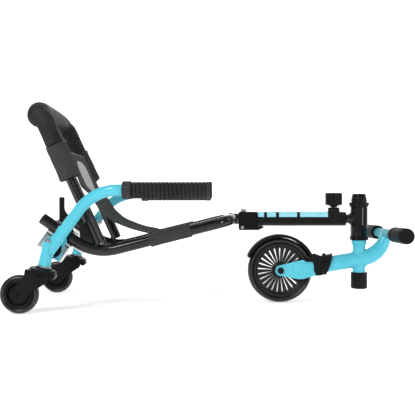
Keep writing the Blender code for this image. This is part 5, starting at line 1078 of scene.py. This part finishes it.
def build_fender():
    """A bent cover over the front wheel: a rounded crown with two rolled skirts."""
    half, last = 0.0215, 68
    section = [(-half, FENDER_R - 0.0085), (-half, FENDER_R - 0.0036), (-half + 0.0012, FENDER_R - 0.0014),
               (-half + 0.0036, FENDER_R - 0.0003), (-0.010, FENDER_R), (0.0, FENDER_R + 0.0001)]
    section += [(-y, r) for y, r in section[-2::-1]]
    inner = []
    for y, r in reversed(section):
        thick = 0.0022
        if abs(y) >= half - 0.001:
            thick = 0.0 if r < FENDER_R - 0.005 else 0.0010
        inner.append((y * 0.905, r - thick))
    rings = []
    for index in range(last + 1):
        angle = radians(24.0 + 134.0 * index / last)
        tuck = 0.0018 * max(0.0, 1.0 - min(index, last - index) / 2.0)
        line = [(y, r - tuck if r > FENDER_R - 0.004 else r) for y, r in [*section, *inner]]
        rings.append([Vector((AXLE[0] + r * cos(angle), y, AXLE[1] + r * sin(angle))) for y, r in line])
    piece("fender_moulded", "fork", ["fender"], DULL_PLASTIC, [rings_joined(rings)])


# Front wheel

def spoke_shape(index):
    """One deep blade of the wheel between two slots."""
    angle = pi / 2 + 2 * pi * (index + 0.5) / SPOKES
    section = ((-0.55, 1.0), (0.55, 1.0), (0.9, 0.9), (1.0, 0.7), (1.0, -0.7), (0.9, -0.9), (0.55, -1.0),
               (-0.55, -1.0), (-0.9, -0.9), (-1.0, -0.7), (-1.0, 0.7), (-0.9, 0.9))
    rings = []
    for radius, slot, half in ((0.0178, 0.22, 0.0096), (0.0240, 0.27, 0.0096), (0.0400, 0.27, 0.0098),
                               (0.0545, 0.27, 0.0100), (0.0610, 0.22, 0.0104)):
        width = radius * pi / SPOKES * (1.0 - slot)
        rings.append([Vector((radius * cos(angle) - y * width * sin(angle),
                              radius * sin(angle) + y * width * cos(angle), z * half)) for y, z in section])
    return rings_joined(rings)


def build_front_wheel():
    at = Matrix.Translation((AXLE[0], 0.0, AXLE[1])) @ Matrix.Rotation(pi / 2, 4, "X")
    tyre = both_faces(mm((72.2, 11.8), (73.8, 12.4, 1), (76, 14.4, 2), (78.4, 16.4, 2), (80.6, 17, 2),
                         (82.8, 16.2, 2), (85, 14, 2), (86.8, 10.4, 2), (87.7, 6, 3), (88, 1, 3)))
    piece("front_tyre_rubber", "front_wheel", ["front_tyre"], TYRE,
          [moved(lathe(tyre, ring=True, steps=160), at)])
    rim = both_faces(mm((60.4, 10), (62.8, 10.8, 1), (64.8, 12, 1.6), (66.2, 14.6, 1), (70, 15, 1),
                        (72.2, 14.4)))
    core = both_faces(mm((11.3, 19), (15, 19), (16.5, 18.2, 1), (18, 13, 2), (19, 9.6, 1), (21.2, 8.8, 1)))
    shapes = [lathe(rim, ring=True, steps=160), lathe(core, ring=True, steps=128)]
    shapes += [spoke_shape(index) for index in range(SPOKES)]
    piece("front_hub_moulded", "front_wheel", ["front_hub"], WHEEL,
          [moved(shape, at) for shape in shapes])


# Padding

def foam(name, replaces, material, path, radius, scales, seed):
    """A foam cover along a tube: a soft round form that is never quite even, with rolled ends."""
    places, faces = sweep(path, radius, 96, scales, edge=0.004)
    points = []
    for place in places:
        off = noise.noise(place * 26.0 + Vector((seed, 0.0, 0.0))) * 0.0009
        off += noise.noise(place * 75.0) * 0.0003
        points.append(place + Vector((off, 0.6 * off, off)))
    thing = piece(name, "rear_frame", replaces, material, [(points, faces)])


def build_padding():
    """The cover over the hoop, which swells at the top, and a sleeve with two seams on each leg."""
    low, high = leg_height(SLEEVE_LOW_Z), leg_height(SLEEVE_TOP_Z)
    path = fine_path(hoop_path(high + 0.0004), 0.006)
    start, stop = [leg_height(z) for z in SWELL_Z]
    scales = []
    for place in path:
        swell = ease((leg_height(place.z) - start) / (stop - start))
        scales.append(1.0 + 0.25 * swell)
        place.x -= 0.0115 * swell
    foam("hoop_foam_cover", ["hoop_cover"], FOAM, path, 0.0238, scales, 3.0)
    for side, word in SIDES:
        path = fine_path([on_leg(side, low), on_leg(side, high)], 0.004)
        shares = [(index, index / len(path)) for index in range(len(path))]
        scales = [1.0 + 0.012 * sin(index * 0.55) * share + 0.03 * (1.0 - share) for index, share in shares]
        foam(f"leg_sleeve_{word}", [f"back_sleeve_{word}"], SLEEVE, path, 0.0268, scales,
             11.0 * side)
        seams = [hoop(on_leg(side, up), direction(HOOP_LEAN), reach, 0.0018, 60, 0.05, 0.003)
                 for up, reach in ((high - 0.0015, 0.0262), (low + 0.0030, 0.0272))]
        piece(f"leg_sleeve_seams_{word}", "rear_frame", None, PIPING, seams)


# Seat

def smooth_line(points, count):
    """A soft curve through points in X and Z, evenly spaced, and its length."""
    dense = []
    for index in range(len(points) - 1):
        before = Vector(points[max(index - 1, 0)])
        here, there = Vector(points[index]), Vector(points[index + 1])
        after = Vector(points[min(index + 2, len(points) - 1)])
        for t in [step / 12 for step in range(12)]:
            square = 2 * before - 5 * here + 4 * there - after
            cube = 3 * here - before - 3 * there + after
            dense.append(0.5 * (2 * here + (there - before) * t + square * t * t + cube * t ** 3))
    dense.append(Vector(points[-1]))
    lengths = [0.0]
    for a, b in zip(dense, dense[1:]):
        lengths.append(lengths[-1] + (b - a).length)
    found = []
    for index in range(count):
        want = lengths[-1] * index / (count - 1)
        at = next((i for i in range(1, len(lengths)) if lengths[i] >= want - 1e-9), len(lengths) - 1)
        share = (want - lengths[at - 1]) / max(lengths[at] - lengths[at - 1], 1e-9)
        found.append(dense[at - 1].lerp(dense[at], share))
    return found, lengths[-1]


def sheet_shape(rows, thickness):
    """A sheet with two faces and closed edges, from rows of points."""
    count, total = len(rows[0]), len(rows)
    points = [place for row in rows for place in row]
    faces = grid_faces(total, count)
    mesh = bpy.data.meshes.new("sheet")
    mesh.from_pydata(points, [], faces)
    offsets = [vert.normal * thickness / 2 for vert in mesh.vertices]
    bpy.data.meshes.remove(mesh)
    upper = [place + offset for place, offset in zip(points, offsets)]
    lower = [place - offset for place, offset in zip(points, offsets)]
    size = len(points)
    made = faces + [tuple(size + index for index in reversed(face)) for face in faces]
    border = [*range(count), *[row * count + count - 1 for row in range(1, total)]]
    border += [(total - 1) * count + column for column in range(count - 2, -1, -1)]
    border += [row * count for row in range(total - 2, 0, -1)]
    for a, b in zip(border, border[1:] + border[:1]):
        made.append((b, a, size + a, size + b))
    return upper + lower, made


def sling_width(x, z):
    """Half the seat's width at a place along it."""
    if z > 0.300:
        return 0.1030 + 0.0105 * max(0.0, (0.340 - z) / 0.040)
    return 0.1135 + 0.0100 * clamp((x + 0.1560) / 0.02)


def sling_rows(spine, columns):
    """The seat's rows of points, with its sag, small creases and the pull of its front seam."""
    rows = []
    for x, z in spine:
        hang = 0.0045 * clamp((x + 0.38) / 0.10) * clamp((-0.10 - x) / 0.05)
        row = []
        for share in [2.0 * column / (columns - 1) - 1.0 for column in range(columns)]:
            sag = hang * (1.0 - share * share)
            crease = 0.0007 * noise.noise(Vector((x * 22.0, share * 5.0, z * 22.0)))
            pull = 0.0009 * sin(share * 21.0) * max(0.0, 1.0 - abs(x + 0.150) / 0.035)
            row.append(Vector((x + 0.35 * sag, sling_width(x, z) * share, z - sag + crease + pull)))
        rows.append(row)
    return rows


def on_back(rows, y, z, lift):
    """A place on the front of the sling's back, from its rows of points, raised off the cloth."""
    row = next(index for index in range(len(rows) - 1) if rows[index + 1][0].z <= z)
    share = (rows[row][0].z - z) / (rows[row][0].z - rows[row + 1][0].z)
    column = (y / rows[row][-1].y + 1.0) * (len(rows[row]) - 1) / 2
    low = int(column)
    above = rows[row][low].lerp(rows[row][low + 1], column - low)
    below = rows[row + 1][low].lerp(rows[row + 1][low + 1], column - low)
    lean = (above - below).normalized()
    return above.lerp(below, share) + Vector((lean.z, 0.0, -lean.x)) * lift


def squared(value):
    """Bends a sine or cosine so that a circle becomes a rounded square."""
    return copysign(abs(value) ** 0.68, value)


def build_patch(rows):
    """The light panel on the back of the seat, with a seam round it."""
    levels = [(reach, 0.0019) for reach in (0.02, 0.25, 0.5, 0.75, 0.93)]
    levels += [(1.0, 0.0014), (1.0, 0.0), (0.5, 0.0), (0.02, 0.0)]
    across, up = PATCH_HALF
    rings = [[on_back(rows, across * reach * squared(cos(a)), PATCH_Z + up * reach * squared(sin(a)), lift)
              for a in turns(72)] for reach, lift in levels]
    return piece("back_patch_cloth", "rear_frame", None, PANEL,
                 [rings_joined(rings), (bead(rings[5], 0.0009, ripple=0.3), PIPING)], sharp=60.0)


def build_pocket(side, word):
    """A cloth pocket round a rail, at the front of the seat, with three seams."""
    path = fine_path([on_rail(side, -0.1470), on_rail(side, -0.0440)], 0.003)
    scales = [1.0 + 0.010 * sin(index * 0.5) for index in range(len(path))]
    places, faces = sweep(path, 0.0168, 72, scales, 0.0008)
    points = [place + Vector((0.0, 0.0, noise.noise(place * 60.0) * 0.0005)) for place in places]
    seams = [(hoop(on_rail(side, x), direction(pi / 2 + FRONT_RISE), 0.0169, 0.0008, 48, 0.25), PIPING)
             for x in (-0.1450, -0.0560, -0.0460)]
    return piece(f"rail_pocket_{word}", "rear_frame", None, SLEEVE,
                 [(points, faces), *seams])


def build_sling():
    """The seat: one sheet from the back down to the rails, with piped edges and two rail pockets."""
    line = [*SLING_BACK, *SLING_SEAT]
    line += [(x, on_rail(1, x).z + 0.0160 / cos(FRONT_RISE)) for x in SLING_RAIL_X]
    spine, length = smooth_line(line, 96)
    rows = sling_rows(spine, 33)
    sling = piece("seat_sling_cloth", "rear_frame", ["seat_sling"], SEAT,
                  [sheet_shape(rows, 0.0024)], sharp=60.0)
    sling.data.materials.append(SLEEVE)
    for face in sling.data.polygons:
        face.material_index = 1 if face.center.z > BACK_LOW_Z else 0
    patch = build_patch(rows)
    edges = [sweep([row[end] for row in rows if row[end].x < -0.146], 0.0022, 14) for end in (0, -1)]
    edges.append(sweep(rows[0], 0.0020, 14))
    piping = piece("seat_sling_piping", "rear_frame", None, PIPING, edges)
    pockets = [build_pocket(side, word) for side, word in SIDES]


# Camera, floor and light

def added(name, data):
    thing = bpy.data.objects.new(name, data)
    bpy.context.scene.collection.objects.link(thing)
    return thing


def build_floor():
    """A floor that bends up into a wall behind the kart, a little lighter towards the back."""
    material, tree, shader, place = nodes_of("studio_floor")
    split = tree.nodes.new("ShaderNodeSeparateXYZ")
    tree.links.new(place, split.inputs[0])
    depth = arithmetic(tree, "MULTIPLY", arithmetic(tree, "ADD", split.outputs["Y"], 3.6), 0.35)
    finish_shader(tree, shader, (0.62, 0.92), (0.85, 0.95), depth, depth, 0.0, 0.001, specular=0.2)
    tree.links.new(ramp(tree, depth, 0.2, 1.0), shader.inputs["Emission Color"])
    shader.inputs["Emission Strength"].default_value = 0.43
    bend = [(1.6 + 1.4 * sin(radians(a)), 1.4 - 1.4 * cos(radians(a))) for a in range(6, 91, 6)]
    points = [(x, y, z) for y, z in ((-6.0, 0.0), (1.6, 0.0), *bend, (3.0, 6.0)) for x in (-7.0, 7.0)]
    faces = [(i, i + 1, i + 3, i + 2) for i in range(0, len(points) - 2, 2)]
    mesh = bpy.data.meshes.new("studio_floor")
    mesh.from_pydata(points, [], faces)
    mesh.materials.append(material)
    mesh.shade_smooth()
    floor = added("studio_floor", mesh)


def build_stage():
    camera = bpy.data.cameras.new("camera")
    camera.lens = LENS
    camera.sensor_width = SENSOR
    eye = added("camera", camera)
    eye.location = CAMERA_AT
    eye.rotation_euler = (pi / 2, 0.0, 0.0)
    bpy.context.scene.camera = eye
    build_floor()
    for name, at, target, size, power in (
        ("key", (-1.6, -2.0, 2.0), (0.0, 0.0, 0.15), (1.1, 1.1), 52.0),
        ("strip", (1.9, -2.0, 0.80), (0.4, 0.0, 0.5), (0.28, 1.5), 15.0),
        ("rim", (3.2, -0.1, 2.1), (0.0, 0.0, 0.2), (0.20, 2.0), 13.0),
        ("front", (0.2, -3.4, 0.9), (0.0, 0.0, 0.2), (3.2, 0.4), 6.0),
        ("top", (0.0, -0.2, 3.0), (0.0, 0.0, 0.0), (2.4, 0.3), 10.0),
        ("back", (0.0, 1.5, 2.3), (0.0, 3.0, 1.5), (6.0, 1.2), 42.0),
    ):
        light = bpy.data.lights.new(name, "AREA")
        light.shape = "RECTANGLE"
        light.size, light.size_y = size
        light.energy = power
        lamp = added(name, light)
        lamp.location = at
        lamp.rotation_euler = (Vector(target) - Vector(at)).to_track_quat("-Z", "Y").to_euler()
    world = bpy.data.worlds.new("studio")
    world.use_nodes = True
    sky = world.node_tree.nodes["Background"]
    sky.inputs["Color"].default_value = (1.0, 1.0, 1.0, 1.0)
    sky.inputs["Strength"].default_value = 0.26
    bpy.context.scene.world = world
    bpy.context.scene.view_settings.view_transform = "Standard"


build_stage()
build_main_frame()
build_brackets()
build_frame_bolts()
build_levers()
for each_side, each_word in SIDES:
    build_caster(each_side, each_word)
build_spine()
build_knob()
build_fork()
build_fork_plates()
build_collar()
build_fender()
build_front_wheel()
build_padding()
build_sling()
for node in ("upper_bearing", "lower_bearing", "front_bearing_right", "front_bearing_left"):
    for index in range(len(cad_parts[node].data.materials)):
        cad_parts[node].data.materials[index] = STEEL

bpy.context.view_layer.update()
